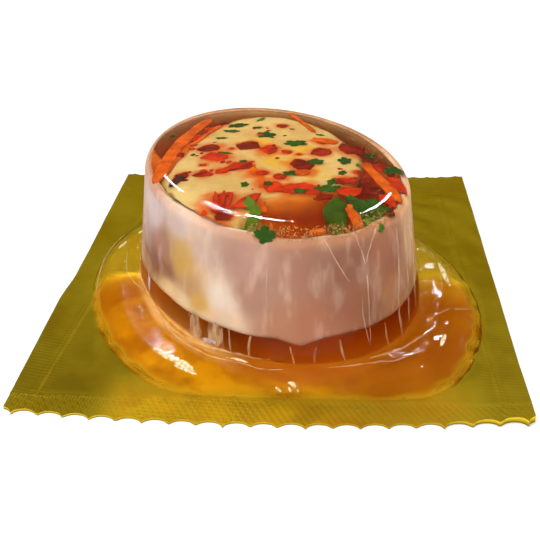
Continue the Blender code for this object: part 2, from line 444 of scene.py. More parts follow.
@dataclass(frozen=True)
class FoldHighlightFinish:
    """Doubled edge of the film: partly clear, partly a pale tint that is a painted highlight for the light the fold
    catches.
    """

    name: str = "film fold highlight"
    tint: Colour = (0.88, 0.66, 0.46)
    cover: float = 0.34

    def make(self) -> bpy.types.Material:
        """Build the material.

        Returns:
            The finished material.
        """
        board = Board(self.name)
        stretch = board.node("Mapping", None, Vector=board.place(), Scale=(1.0, 1.0, 0.25))
        grain = board.node("TexNoise", None, Vector=stretch.outputs[0], Scale=900.0, Detail=3.0)
        broken = board.rise(grain.outputs["Fac"], 0.30, 0.66)
        share = board.maths("MULTIPLY", broken, self.cover)
        clear = board.node("BsdfTransparent")
        # Painted highlight: an opaque pale tint where the fold would catch the light.
        light = board.node("BsdfPrincipled", None, Base_Color=(*self.tint, 1.0))
        light.inputs["Roughness"].default_value = 0.18
        mixed = board.node("MixShader", None, i0=share, i1=clear.outputs[0], i2=light.outputs[0])
        return board.finish(mixed.outputs[0])


@dataclass(frozen=True)
class JellyFinish:
    """Clear amber jelly that deepens to orange with thickness."""

    name: str = "amber jelly"
    density: float = 62.0
    absorbs: Colour = (0.98, 0.66, 0.02)
    roughness: float = 0.0
    ior: float = 1.36

    def make(self) -> bpy.types.Material:
        """Build the material.

        Returns:
            The finished material.
        """
        board = Board(self.name)
        normal = board.bump(board.noise(210.0, 2.0), 0.06 * MM, 0.4)
        into = board.node("BsdfRefraction", None, Color=(1.0, 1.0, 1.0, 1.0), Normal=normal)
        out_of = board.node("BsdfGlass", None, Color=(1.0, 1.0, 1.0, 1.0), Normal=normal)
        for side in (into, out_of):
            side.inputs["Roughness"].default_value = self.roughness
            side.inputs["IOR"].default_value = self.ior
        behind = board.node("NewGeometry").outputs["Backfacing"]
        body = board.node("MixShader", None, i0=behind, i1=into.outputs[0], i2=out_of.outputs[0])
        through = board.node("BsdfTransparent")
        shadow = board.node("LightPath").outputs["Is Shadow Ray"]
        mixed = board.node("MixShader", None, i0=shadow, i1=body.outputs[0], i2=through.outputs[0])
        absorb = board.node("VolumeAbsorption")
        absorb.inputs["Color"].default_value = (*self.absorbs, 1.0)
        absorb.inputs["Density"].default_value = self.density
        return board.finish(mixed.outputs[0], absorb.outputs[0])


@dataclass(frozen=True)
class HamFinish:
    """Moist cooked ham: pale pink, mottled, with faint fibres, over a colour mark that holds its own tone together
    with painted light and shade.
    """

    darker: float = 0.78
    lighter: float = 0.96
    fat: Colour = (0.82, 0.66, 0.56)
    roughness: float = 0.42

    def make(self) -> bpy.types.Material:
        """Build the material.

        Returns:
            The finished material.
        """
        board = Board("cooked ham")
        stretch = board.node("Mapping", None, Vector=board.place(), Scale=(1.0, 1.0, 0.35))
        fibres = board.node("TexNoise", None, Vector=stretch.outputs[0], Scale=260.0, Detail=5.0)
        # The ham's own tone together with painted light and shade, from the wall's colour mark.
        tone = board.node("Attribute", {"attribute_name": "ham_tone_and_light"}).outputs["Color"]
        broad = board.rise(board.noise(70.0, 5.0, 0.6), 0.3, 0.7)
        shade = board.maths("MULTIPLY_ADD", broad, self.lighter - self.darker, self.darker)
        colour = board.node("VectorMath", {"operation": "SCALE"}, Vector=tone, Scale=shade).outputs[0]
        streak = board.rise(fibres.outputs["Fac"], 0.50, 0.70)
        colour = board.blend(board.maths("MULTIPLY", streak, 0.22), colour, self.fat)
        normal = board.bump(fibres.outputs["Fac"], 0.15 * MM, 0.5)
        shader = board.node("BsdfPrincipled", None, Base_Color=colour, Normal=normal)
        shader.inputs["Roughness"].default_value = self.roughness
        shader.inputs["Specular IOR Level"].default_value = 0.15
        shader.inputs["Subsurface Weight"].default_value = 0.35
        shader.inputs["Subsurface Radius"].default_value = (1.0, 0.45, 0.3)
        shader.inputs["Subsurface Scale"].default_value = 2.5 * MM
        return board.finish(shader.outputs[0])


@dataclass(frozen=True)
class EggFinish:
    """Pale egg filling, yellower at its yolk and stained by the pepper beside it."""

    pale: Colour = (0.50, 0.40, 0.19)
    beige: Colour = (0.40, 0.28, 0.11)
    yolk: Colour = (0.52, 0.36, 0.045)
    stain: Colour = (0.44, 0.080, 0.003)
    flank: Colour = (0.95, 0.36, 0.06)

    def make(self) -> bpy.types.Material:
        """Build the material.

        Returns:
            The finished material.
        """
        board = Board("egg filling")
        broad = board.rise(board.noise(95.0, 4.0, 0.6), 0.35, 0.68)
        colour = board.blend(board.maths("MULTIPLY", broad, 0.8), self.pale, self.beige)
        grains = board.noise(900.0, 3.0, 0.7)
        yolk = board.node("Attribute", {"attribute_name": "yolk"}).outputs["Fac"]
        patchy = board.maths("MULTIPLY", yolk, board.rise(board.noise(240.0, 4.0, 0.7, 3.0), 0.3, 0.6))
        colour = board.blend(patchy, colour, self.yolk)
        stain = board.node("Attribute", {"attribute_name": "stain"}).outputs["Fac"]
        colour = board.blend(stain, colour, self.stain)
        flank = board.node("Attribute", {"attribute_name": "flank"}).outputs["Fac"]
        colour = board.blend(flank, colour, self.flank)
        normal = board.bump(board.noise(260.0, 5.0, 0.65), 0.5 * MM, 0.6)
        normal = board.bump(grains, 0.15 * MM, 0.5, normal)
        shader = board.node("BsdfPrincipled", None, Base_Color=colour, Normal=normal)
        shader.inputs["Roughness"].default_value = 0.5
        shader.inputs["Specular IOR Level"].default_value = 0.1
        shader.inputs["Subsurface Weight"].default_value = 0.25
        shader.inputs["Subsurface Radius"].default_value = (1.0, 0.6, 0.3)
        shader.inputs["Subsurface Scale"].default_value = 2.0 * MM
        return board.finish(shader.outputs[0])


@dataclass(frozen=True)
class FoodFinish:
    """Soft opaque food with two mingled colours."""

    name: str
    one: Colour
    two: Colour
    grain: float = 300.0
    roughness: float = 0.4
    glow: float = 0.15
    relief: float = 0.12 * MM

    def make(self) -> bpy.types.Material:
        """Build the material.

        Returns:
            The finished material.
        """
        board = Board(self.name)
        mottle = board.rise(board.noise(self.grain, 4.0, 0.6), 0.35, 0.65)
        shade = board.node("Attribute", {"attribute_name": "shade"}).outputs["Fac"]
        mingled = board.maths("MULTIPLY_ADD", shade, 0.45, board.maths("MULTIPLY", mottle, 0.55))
        colour = board.blend(mingled, self.one, self.two)
        normal = board.bump(board.noise(2.5 * self.grain, 3.0), self.relief, 0.5)
        shader = board.node("BsdfPrincipled", None, Base_Color=colour, Normal=normal)
        shader.inputs["Roughness"].default_value = self.roughness
        shader.inputs["Specular IOR Level"].default_value = 0.08
        shader.inputs["Subsurface Weight"].default_value = self.glow
        shader.inputs["Subsurface Radius"].default_value = (1.0, 0.5, 0.3)
        shader.inputs["Subsurface Scale"].default_value = 1.5 * MM
        return board.finish(shader.outputs[0])


@dataclass(frozen=True)
class BubbleReflectionFinish:
    """Air sealed in the jelly: a painted bright rim, which stands in for the light the air reflects, round a clear
    inside.
    """

    tint: Colour = (0.50, 0.25, 0.08)
    cover: float = 0.34

    def make(self) -> bpy.types.Material:
        """Build the material.

        Returns:
            The finished material.
        """
        board = Board("air bubble reflection")
        facing = board.node("LayerWeight", None, Blend=0.5).outputs["Facing"]
        # Painted reflection: more of the opaque tint towards the bead's rim.
        edge = board.maths("MULTIPLY_ADD", board.maths("POWER", facing, 2.0), 0.6, self.cover)
        mottle = board.blend(board.noise(900.0), self.tint, (0.58, 0.36, 0.14))
        clear = board.node("BsdfTransparent")
        shine = board.node("BsdfPrincipled", None, Base_Color=mottle)
        shine.inputs["Roughness"].default_value = 0.12
        mixed = board.node("MixShader", None, i0=edge, i1=clear.outputs[0], i2=shine.outputs[0])
        return board.finish(mixed.outputs[0])


@dataclass(frozen=True)
class FloorFinish:
    """Plain pale studio floor."""

    colour: Colour = (0.9, 0.9, 0.9)

    def make(self) -> bpy.types.Material:
        """Build the material.

        Returns:
            The finished material.
        """
        board = Board("studio floor")
        shader = board.node("BsdfPrincipled", None, Base_Color=(*self.colour, 1.0))
        shader.inputs["Roughness"].default_value = 0.9
        shader.inputs["Specular IOR Level"].default_value = 0.1
        return board.finish(shader.outputs[0])


# ---------------------------------------------------------------- shared forms


@dataclass(frozen=True)
class OvalForm:
    """Outside form of the moulded oval and of the jelly squeezed out round its foot."""

    half_x: float = 34.4 * MM
    half_y: float = 48.5 * MM
    centre: tuple[float, float] = (-1.3 * MM, -6.4 * MM)
    turn: float = math.radians(25.7)
    top: float = 41.2 * MM
    draft: float = math.radians(7.4)
    shoulder: float = 5.0 * MM
    crown: float = 0.7 * MM
    floor: float = 0.8 * MM
    rim_width: float = 15.0 * MM
    rim_sway: float = 4.0 * MM
    rim_widest: float = math.radians(-70.0)
    rim_crease: float = 4.2 * MM
    rim_swell: float = 1.6 * MM
    rim_edge: float = 0.6 * MM
    rim_base: float = 0.30 * MM
    rim_limit: float = -64.8 * MM
    rim_softness: float = 3.0 * MM

    def wall_offset(self, z: np.ndarray | float) -> np.ndarray | float:
        """Outward offset of the tapered wall at height z."""
        return (self.top - z) * math.tan(self.draft)

    def at(self, angle: np.ndarray | float, offset: np.ndarray | float, z: np.ndarray | float) -> np.ndarray:
        """Points on the turned oval.

        Args:
            angle: Parameter angle on the oval.
            offset: How far the oval is grown.
            z: Height.

        Returns:
            Positions, (..., 3).
        """
        along_x = (self.half_x + offset) * np.cos(angle)
        along_y = (self.half_y + offset) * np.sin(angle)
        x = self.centre[0] + math.cos(self.turn) * along_x - math.sin(self.turn) * along_y
        y = self.centre[1] + math.sin(self.turn) * along_x + math.cos(self.turn) * along_y
        return np.stack(np.broadcast_arrays(x, y, z), axis=-1)

    def on_wall(self, degrees: float, height: float, grow: float = 0.0) -> np.ndarray:
        """Point on the side wall, from its parameter angle in degrees and height in mm."""
        z = height * MM
        return self.at(math.radians(degrees), self.wall_offset(z) + grow, z)

    def parameter(self, x: np.ndarray, y: np.ndarray) -> np.ndarray:
        """Parameter angle of the oval ring that passes through x, y."""
        dx = x - self.centre[0]
        dy = y - self.centre[1]
        along_x = math.cos(self.turn) * dx + math.sin(self.turn) * dy
        along_y = math.cos(self.turn) * dy - math.sin(self.turn) * dx
        return np.arctan2(along_y / self.half_y, along_x / self.half_x)

    def rim_outline(self, angle: np.ndarray, grow: float, z: np.ndarray | float) -> np.ndarray:
        """Outer edge of the squeezed-out jelly, held back by the front seal."""
        width = self.rim_width + self.rim_sway * np.cos(angle + self.turn - self.rim_widest)
        points = self.at(angle, self.wall_offset(self.floor) + width, z)
        past = (self.rim_limit - points[..., 1]) / self.rim_softness
        points[..., 1] += self.rim_softness * np.log1p(np.exp(past))
        outward = points[..., :2] - np.array(self.centre)
        size = np.linalg.norm(outward, axis=-1, keepdims=True)
        points[..., :2] += grow * outward / size
        return points

    def rim_height(self, share: np.ndarray | float) -> np.ndarray | float:
        """Height of the squeezed-out jelly, from its crease (0) to its edge (1)."""
        slope = self.rim_crease + (self.rim_edge - self.rim_crease) * share**1.6
        return self.floor + slope + self.rim_swell * np.sin(math.pi * share**0.8)

    def tent(self, angle: np.ndarray) -> np.ndarray:
        """1 where the film stands off the sheet with no jelly under it, else 0."""
        degrees = np.degrees(angle) % 360.0
        turned = (degrees + 180.0) % 360.0
        left = smooth_step(104.0, 120.0, degrees) * smooth_step(174.0, 154.0, degrees)
        right = smooth_step(142.0, 172.0, turned) * smooth_step(222.0, 208.0, turned)
        return np.maximum(left, right)

    def on_rim(self, degrees: float, share: float) -> np.ndarray:
        """Point on the squeezed-out jelly, from its angle and its share of the width."""
        angle = np.array(math.radians(degrees))
        z = self.rim_height(share)
        inside = self.at(angle, self.wall_offset(self.rim_height(0.0)), z)
        return inside + share * (self.rim_outline(angle, 0.0, z) - inside)

    def rows(self, angle: np.ndarray, grow: float, counts: tuple[int, int, int, int]) -> np.ndarray:
        """Rings of the outside, from the rim's outer edge up and in to the top's middle.

        Args:
            angle: Parameter angles of every ring.
            grow: Distance outside the jelly.
            counts: Rings on the rim, the wall, the rounded edge and the top.

        Returns:
            Positions, (rings, angles, 3).
        """
        rim, wall, edge, top = counts
        rings = []
        foot = self.rim_height(0.0)
        for share in np.linspace(1.0, 0.0, rim):
            thin = 1.0 - 0.90 * smooth_step(0.70, 1.0, share)
            z = self.rim_base + grow + (self.rim_height(share) - self.rim_base) * thin
            inside = self.at(angle, self.wall_offset(foot) + grow, z)
            rings.append(inside + share * (self.rim_outline(angle, grow, z) - inside))
        lean = math.sin(self.draft)
        middle = -self.shoulder * (1.0 - lean) / math.cos(self.draft)
        low = foot + grow
        high = self.top - self.shoulder + (self.shoulder + grow) * lean
        for z in np.linspace(low, high, wall + 1)[1:]:
            rings.append(self.at(angle, self.wall_offset(z) + grow / math.cos(self.draft), z))
        radius = self.shoulder + grow
        for slope in np.linspace(self.draft, 0.5 * math.pi, edge + 1)[1:]:
            z = self.top - self.shoulder + radius * math.sin(slope)
            rings.append(self.at(angle, middle + radius * math.cos(slope), z))
        rim_of_top = rings[-1]
        hub = np.array([*self.centre, rim_of_top[0, 2]])
        for share in np.linspace(1.0, 0.0, top + 1)[1:-1]:
            ring = hub + (rim_of_top - hub) * share
            ring[:, 2] += self.crown * (1.0 - share * share)
            rings.append(ring)
        return np.array(rings)

    def hub(self, grow: float) -> np.ndarray:
        """Middle point of the top."""
        return np.array([*self.centre, self.top + grow + self.crown])


@dataclass(frozen=True)
class SheetForm:
    """Outline and relief of the gold sheet, which the film's margin follows."""

    width: float = 130.0 * MM
    depth: float = 154.0 * MM
    thickness: float = 0.5 * MM
    bow: float = 3.5 * MM
    front_pitch: float = 6.61 * MM
    front_first: float = 2.5 * MM
    front_bite: float = 2.2 * MM
    back_pitch: float = 5.2 * MM
    back_first: float = 2.6 * MM
    back_bite: float = 1.3 * MM
    back_shift: float = 1.2 * MM

    def _bite(self, along: np.ndarray, pitch: float, first: float, depth: float) -> np.ndarray:
        """Depth of the round bites along a cut end."""
        across = 2.0 * (((along - first) / pitch) % 1.0) - 1.0
        return depth * np.sqrt(np.maximum(0.0, 1.0 - across * across))

    def front(self, x: np.ndarray) -> np.ndarray:
        """Y of the front cut end at x."""
        along = x + 0.5 * self.width
        across = 2.0 * x / self.width
        bite = self._bite(along, self.front_pitch, self.front_first, self.front_bite)
        return -0.5 * self.depth + self.bow * across * across + bite

    def back(self, x: np.ndarray) -> np.ndarray:
        """Y of the back cut end at x."""
        along = 0.5 * self.width - x
        return 0.5 * self.depth - self._bite(along, self.back_pitch, self.back_first, self.back_bite)

    def shift(self, x: np.ndarray, y: np.ndarray) -> np.ndarray:
        """X of a point once the left edge is drawn in over the sheet's back half."""
        pull = smooth_step(-20.0 * MM, -4.0 * MM, y) * smooth_step(0.0, -0.5 * self.width, x)
        return x + self.back_shift * pull

    def relief(self, x: np.ndarray, y: np.ndarray) -> np.ndarray:
        """Height of the sheet's top face.

        Args:
            x: Positions across the sheet.
            y: Positions along it.

        Returns:
            Heights above the table.
        """
        points = np.stack([x, y, np.zeros_like(x)], axis=-1)
        height = np.full(x.shape, self.thickness)
        height += 0.10 * MM * bell(y + 65.7 * MM + 0.3 * MM * np.sin(x / 9e-3), 0.9 * MM)
        height -= 0.06 * MM * bell(y + 67.4 * MM, 1.0 * MM)
        height += 0.20 * MM * bell(y - 63.5 * MM, 0.75 * MM)
        height += 0.14 * MM * bell(y - 61.4 * MM, 0.75 * MM)
        fold_left = -57.6 * MM + (y + 48.0 * MM) * 0.075
        fold_right = 57.8 * MM - (y + 48.0 * MM) * 0.030
        outside_left = np.maximum(0.0, fold_left - x)
        outside_right = np.maximum(0.0, x - fold_right)
        height += 0.055 * (outside_left + outside_right)
        height += 0.20 * MM * (bell(x - fold_left, 0.5 * MM) + bell(x - fold_right, 0.5 * MM))
        open_part = smooth_step(-64.0 * MM, -58.0 * MM, y) * smooth_step(62.0 * MM, 56.0 * MM, y)
        calm = smooth_step(0.0, 3.0 * MM, self.past_food(x, y))
        waves = 0.34 * lumps(points * np.array([1.0, 0.55, 1.0]), 17.0 * MM)
        waves += 0.10 * lumps(points, 6.5 * MM, 4.0)
        height += MM * open_part * calm * (waves + 0.12)
        arcs = np.hypot(x - 20.0 * MM, (y + 6.0 * MM) * 0.8)
        arc_zone = smooth_step(36.0 * MM, 46.0 * MM, x) * smooth_step(-4.0 * MM, 8.0 * MM, y)
        arc_waves = np.sin(arcs / (1.55 * MM) + 2.0 * lumps(points, 22.0 * MM, 11.0))
        height += 0.10 * MM * arc_waves * arc_zone * open_part * calm
        curl = np.maximum(0.0, (x - 50.0 * MM) - (y + 60.0 * MM))
        height += 0.9 * MM * smooth_step(0.0, 24.0 * MM, curl)
        return np.maximum(height, 0.30 * MM)

    def _past(self, x: np.ndarray, y: np.ndarray, edge: np.ndarray) -> np.ndarray:
        """Distance of a point outside an outline about the oval's middle."""
        centre = OvalForm().centre
        here = np.hypot(x - centre[0], y - centre[1])
        there = np.hypot(edge[..., 0] - centre[0], edge[..., 1] - centre[1])
        return here - there

    def past_food(self, x: np.ndarray, y: np.ndarray) -> np.ndarray:
        """Distance of a point outside the food's edge, less than 0 under it."""
        form = OvalForm()
        return self._past(x, y, form.rim_outline(form.parameter(x, y), 0.0, 0.0))

    def under_block(self, x: np.ndarray, y: np.ndarray) -> np.ndarray:
        """1 under the block itself, falling to 0 just outside its wall."""
        form = OvalForm()
        edge = form.at(form.parameter(x, y), form.wall_offset(form.floor), 0.0)
        return smooth_step(2.5 * MM, -1.5 * MM, self._past(x, y, edge))

    def under_food(self, x: np.ndarray, y: np.ndarray) -> np.ndarray:
        """1 where jelly wets the sheet, and 0 well outside it."""
        form = OvalForm()
        ragged = 1.6 * MM * lumps(np.stack([x, y, np.zeros_like(x)], axis=-1), 5.0 * MM, 3.0)
        wet = smooth_step(1.5 * MM, -3.5 * MM, self.past_food(x, y) + ragged)
        dry = 0.7 * form.tent(form.parameter(x, y)) * (1.0 - self.under_block(x, y))
        across = smooth_step(-46.0 * MM, -32.0 * MM, x) * smooth_step(58.0 * MM, 42.0 * MM, x)
        front = across * smooth_step(-54.0 * MM, -61.0 * MM, y) * (0.62 + 0.3 * lumps(np.stack([x, y, 0.0 * x], -1), 8.0 * MM))
        return np.clip(np.maximum(wet * (1.0 - dry), front), 0.0, 1.0)

    def outline(self, counts: tuple[int, int, int]) -> np.ndarray:
        """Outline of the sheet in plan, anticlockwise from the front left corner.

        Args:
            counts: Points on the front, on each side and on the back.

        Returns:
            Positions in plan, (count, 2).
        """
        front, side, back = counts
        half = 0.5 * self.width
        x_front = np.linspace(-half, half, front, endpoint=False)
        run = [np.stack([x_front, self.front(x_front)], axis=-1)]
        low, high = float(self.front(np.array(half))), float(self.back(np.array(half)))
        y_side = np.linspace(low, high, side, endpoint=False)
        run.append(np.stack([np.full(side, half), y_side], axis=-1))
        x_back = np.linspace(half, -half, back, endpoint=False)
        run.append(np.stack([x_back, self.back(x_back)], axis=-1))
        run.append(np.stack([np.full(side, -half), y_side[::-1] + (high - low) / side], axis=-1))
        points = np.concatenate(run)
        points[:, 0] = self.shift(points[:, 0], points[:, 1])
        return points


@dataclass(frozen=True)
class Crease:
    """One fold or ridge of the drawn film, along a path on the outside."""

    path: tuple[tuple[float, float], ...]
    height: float
    width: float
    on_rim: bool = False

    def lift(self, points: np.ndarray, form: OvalForm) -> np.ndarray:
        """How far the crease lifts each point, in metres."""
        place = form.on_rim if self.on_rim else form.on_wall
        corners = np.array([place(*spot) for spot in self.path])
        gap, along = to_line(points, corners)
        taper = np.sin(math.pi * np.clip(0.12 + 0.76 * along, 0.0, 1.0)) ** 0.6
        return self.height * MM * bell(gap, self.width * MM) * taper


@dataclass
class FilmRelief:
    """Folds, pleats and creases that the film and the jelly under it share."""

    form: OvalForm = field(default_factory=OvalForm)
    folds: tuple[Crease, ...] = (
        Crease(((-101.0, 39.4), (-96.0, 33.5), (-90.8, 26.6)), 0.42, 0.75),
        Crease(((-87.8, 39.6), (-83.2, 30.8), (-82.4, 19.5)), 0.42, 0.70),
        Crease(((-76.5, 39.6), (-83.2, 30.8)), 0.38, 0.65),
        Crease(((-64.7, 38.2), (-64.5, 17.5)), 0.34, 0.75),
        Crease(((-58.0, 33.0), (-57.2, 13.0)), 0.20, 0.90),
        Crease(((-72.5, 26.0), (-72.0, 9.0)), 0.18, 0.80),
        Crease(((-118.0, 33.0), (-117.0, 12.0)), 0.16, 0.90),
        Crease(((-46.0, 30.0), (-45.0, 8.0)), 0.22, 0.90),
        Crease(((-30.0, 34.0), (-31.0, 10.0)), 0.20, 1.00),
        Crease(((40.0, 36.0), (42.0, 8.0)), 0.30, 0.90),
        Crease(((75.0, 38.0), (72.0, 20.0)), 0.34, 0.80),
        Crease(((110.0, 36.0), (112.0, 9.0)), 0.30, 0.90),
        Crease(((150.0, 37.0), (147.0, 14.0)), 0.28, 0.90),
    )
    lips: tuple[Crease, ...] = (
        Crease(((-178.0, 0.08), (-163.0, 0.18), (-148.0, 0.24), (-132.0, 0.16), (-120.0, 0.13)), 0.60, 1.0, True),
        Crease(((-168.0, 0.14), (-155.0, 0.30), (-140.0, 0.40), (-124.0, 0.52), (-112.0, 0.60)), 0.70, 1.3, True),
        Crease(((-176.0, 0.55), (-160.0, 0.66), (-146.0, 0.70)), 0.60, 1.6, True),
        Crease(((-86.0, 0.22), (-70.0, 0.30), (-56.0, 0.38), (-40.0, 0.30)), 0.70, 1.2, True),
        Crease(((-104.0, 0.46), (-90.0, 0.42), (-70.0, 0.50), (-55.0, 0.60)), 0.65, 1.4, True),
        Crease(((-30.0, 0.60), (-8.0, 0.52), (14.0, 0.60), (40.0, 0.55)), 0.50, 1.1, True),
        Crease(((-100.0, 0.76), (-84.0, 0.70), (-70.0, 0.78)), 0.50, 1.4, True),
        Crease(((-117.0, 0.55), (-114.0, 0.66), (-113.0, 0.82)), 0.80, 1.1, True),
        Crease(((-52.0, 0.30), (-44.0, 0.52), (-38.0, 0.88)), 0.80, 1.2, True),
        Crease(((20.0, 0.20), (60.0, 0.22), (100.0, 0.20)), 0.45, 1.1, True),
        Crease(((120.0, 0.30), (150.0, 0.28), (175.0, 0.34)), 0.45, 1.2, True),
    )

    def _pleats(self, points: np.ndarray, angle: np.ndarray) -> np.ndarray:
        """Upright pleats that the film has round the foot."""
        z = points[..., 2]
        band = smooth_step(3.0 * MM, 6.0 * MM, z) * smooth_step(15.0 * MM, 9.0 * MM, z)
        waves = np.zeros_like(z)
        for turns, start, weight in ((37.0, 0.4, 0.5), (61.0, 1.9, 0.35), (23.0, 2.6, 0.4)):
            waves += weight * np.maximum(0.0, np.sin(turns * angle + start)) ** 3
        return 0.32 * MM * band * waves

    def lift(self, points: np.ndarray, angle: np.ndarray) -> np.ndarray:
        """How far each point of the outside stands proud, in metres.

        Args:
            points: Rings of the outside, (rings, angles, 3).
            angle: Parameter angles of the rings.

        Returns:
            Lifts, (rings, angles).
        """
        z = points[..., 2]
        total = np.zeros(z.shape)
        for crease in self.folds + self.lips:
            total += crease.lift(points, self.form)
        total += self._pleats(points, angle[None, :])
        wall = smooth_step(4.0 * MM, 9.0 * MM, z) * smooth_step(38.0 * MM, 34.0 * MM, z)
        stretched = points * np.array([1.0, 1.0, 0.22])
        total += 0.10 * MM * wall * lumps(stretched, 3.4 * MM, 2.0)
        low = smooth_step(8.0 * MM, 5.5 * MM, z)
        right = smooth_step(-20.0 * MM, 20.0 * MM, points[..., 0] - 0.3 * points[..., 1])
        rumple = lumps(points, 5.2 * MM) + 0.45 * lumps(points, 2.4 * MM, 5.0)
        total += MM * low * (0.16 + 0.42 * right) * rumple
        return total


def raise_rows(points: np.ndarray, lift: np.ndarray) -> np.ndarray:
    """Move ring points along the outside's own normals.

    Args:
        points: Rings from the outer edge inward, (rings, angles, 3).
        lift: Distance for each point.

    Returns:
        The moved rings.
    """
    around = np.roll(points, -1, 1) - np.roll(points, 1, 1)
    inward = np.gradient(points, axis=0)
    normal = np.cross(around, inward)
    normal /= np.maximum(np.linalg.norm(normal, axis=-1, keepdims=True), 1e-12)
    return points + normal * lift[..., None]


# ---------------------------------------------------------------- pack


@dataclass
class GoldBase:
    """Gold laminate sheet that the pack stands on."""

    form: SheetForm = field(default_factory=SheetForm)
    columns: int = 210
    rows: int = 236
    finish: GoldFoil = field(default_factory=GoldFoil)

    def build(self) -> bpy.types.Object:
        """Build the sheet.

        Returns:
            The finished object.
        """
        half = 0.5 * self.form.width
        x = np.linspace(-half, half, self.columns)
        share = np.linspace(0.0, 1.0, self.rows)[:, None]
        front, back = self.form.front(x)[None, :], self.form.back(x)[None, :]
        y = front + share * (back - front)
        x = np.broadcast_to(x[None, :], y.shape)
        x = self.form.shift(x, y)
        top = np.stack([x, y, self.form.relief(x, y)], axis=-1)
        rim = np.concatenate([top[0, :-1], top[:-1, -1], top[-1, :0:-1], top[:0:-1, 0]])
        under = rim.copy()
        under[:, 2] = 0.0
        work = MeshWork()
        grid = work.add(top)
        work.sheet(grid, wrap=False)
        under_food = self.form.under_food(x, y).reshape(-1)
        edge = np.concatenate([grid[0, :-1], grid[:-1, -1], grid[-1, :0:-1], grid[:0:-1, 0]])
        low = work.add(under)
        work.sheet(np.array([low, edge]), wrap=True)
        work.face(low[::-1])
        thing = work.make("gold_base_sheet", self.finish.make(), check=False)
        thing.data.set_sharp_from_angle(angle=math.radians(60.0))
        mark_points(thing, "under_food", under_food)
        mark_points(thing, "under_block", self.form.under_block(x, y).reshape(-1))
        # The cut side faces are marked for their painted shade.
        mark_points(thing, "cut", np.concatenate([np.zeros(grid.size), np.ones(low.size)]))
        return settle(thing, "gold_foil", "gold_base")


@dataclass
class ClearFilm:
    """Clear film drawn over the food and sealed flat to the sheet out to its cut ends."""

    form: OvalForm = field(default_factory=OvalForm)
    sheet: SheetForm = field(default_factory=SheetForm)
    relief: FilmRelief = field(default_factory=FilmRelief)
    inner: float = 0.38 * MM
    thickness: float = 0.12 * MM
    outline: tuple[int, int, int] = (126, 74, 126)
    counts: tuple[int, int, int, int] = (34, 34, 14, 14)
    margin_rows: int = 18
    finish: FilmFinish = field(default_factory=FilmFinish)

    def _angles(self, edge: np.ndarray) -> np.ndarray:
        """Parameter angles of the rings, even enough that none of them cross."""
        angle = np.unwrap(self.form.parameter(edge[:, 0], edge[:, 1]))
        whole = np.concatenate([angle - 2.0 * math.pi, angle, angle + 2.0 * math.pi])
        soft = whole.copy()
        for _ in range(12):
            soft[1:-1] = 0.25 * soft[:-2] + 0.5 * soft[1:-1] + 0.25 * soft[2:]
        return soft[len(angle) : 2 * len(angle)]

    def _skin(self, grow: float, angle: np.ndarray, edge: np.ndarray) -> np.ndarray:
        """Rings of one face of the film, from the cut edge inward.

        Args:
            grow: Distance of this face outside the jelly.
            angle: Parameter angles of the rings.
            edge: Outline of the sheet in plan.

        Returns:
            Positions, (rings, angles, 3).
        """
        body = self.form.rows(angle, grow, self.counts)
        body = raise_rows(body, self.relief.lift(body, angle))
        foot = body[0]
        shares = np.linspace(0.0, 1.0, self.margin_rows, endpoint=False)
        margin = []
        for share in shares:
            plan = edge + share * (foot[:, :2] - edge)
            lying = self.sheet.relief(plan[:, 0], plan[:, 1]) + grow - 0.2 * MM
            z = lying + (foot[:, 2] - lying) * smooth_step(0.80, 1.0, np.array(share))
            margin.append(np.column_stack([plan, z]))
        return np.concatenate([np.array(margin), body])

    def _calm(self, ring: np.ndarray, angle: np.ndarray) -> np.ndarray:
        """Share of the gloss lost on the rim's left, where the film clings to soft jelly."""
        share = 1.0 - (ring - self.margin_rows) / (self.counts[0] - 1.0)
        degrees = (np.degrees(angle)[None, :] + 270.0) % 360.0 - 270.0
        left = smooth_step(-122.0, -132.0, degrees) * smooth_step(-0.04, 0.05, share)
        bright = bell((degrees + 149.0) / 8.0, 1.0) * bell((share - 0.6) / 0.22, 1.0)
        right = smooth_step(-62.0, -45.0, degrees) * smooth_step(70.0, 20.0, degrees) * smooth_step(-0.04, 0.05, share)
        return np.maximum(0.93 * left * (1.0 - bright), 0.5 * right)

    def build(self) -> bpy.types.Object:
        """Build the film.

        Returns:
            The finished object.
        """
        edge = self.sheet.outline(self.outline)
        angle = self._angles(edge)
        work = MeshWork()
        below = work.add(self._skin(self.inner, angle, edge))
        above = work.add(self._skin(self.inner + self.thickness, angle, edge))
        work.sheet(above, wrap=True)
        work.sheet(below, wrap=True, flip=True)
        work.sheet(np.array([below[0], above[0]]), wrap=True)
        work.fan(above[-1], self.form.hub(self.inner + self.thickness))
        work.fan(below[-1], self.form.hub(self.inner), flip=True)
        thing = work.make("clear_film_skin", self.finish.make(), check=False)
        ring = np.arange(below.shape[0])[:, None] + np.zeros(below.shape[1])[None, :]
        sealed = np.maximum(smooth_step(self.margin_rows + 6.0, self.margin_rows + 3.0, ring), self._calm(ring, angle))
        mark_points(thing, "sealed", np.tile(sealed.reshape(-1), 2))
        return settle(thing, "clear_film", "clear_film")


@dataclass(frozen=True)
class Rib:
    """One thin fold: corners on the outside, its width and height in mm."""

    path: tuple[tuple[float, float], ...]
    width: float = 0.30
    height: float = 0.22
    on_rim: bool = False


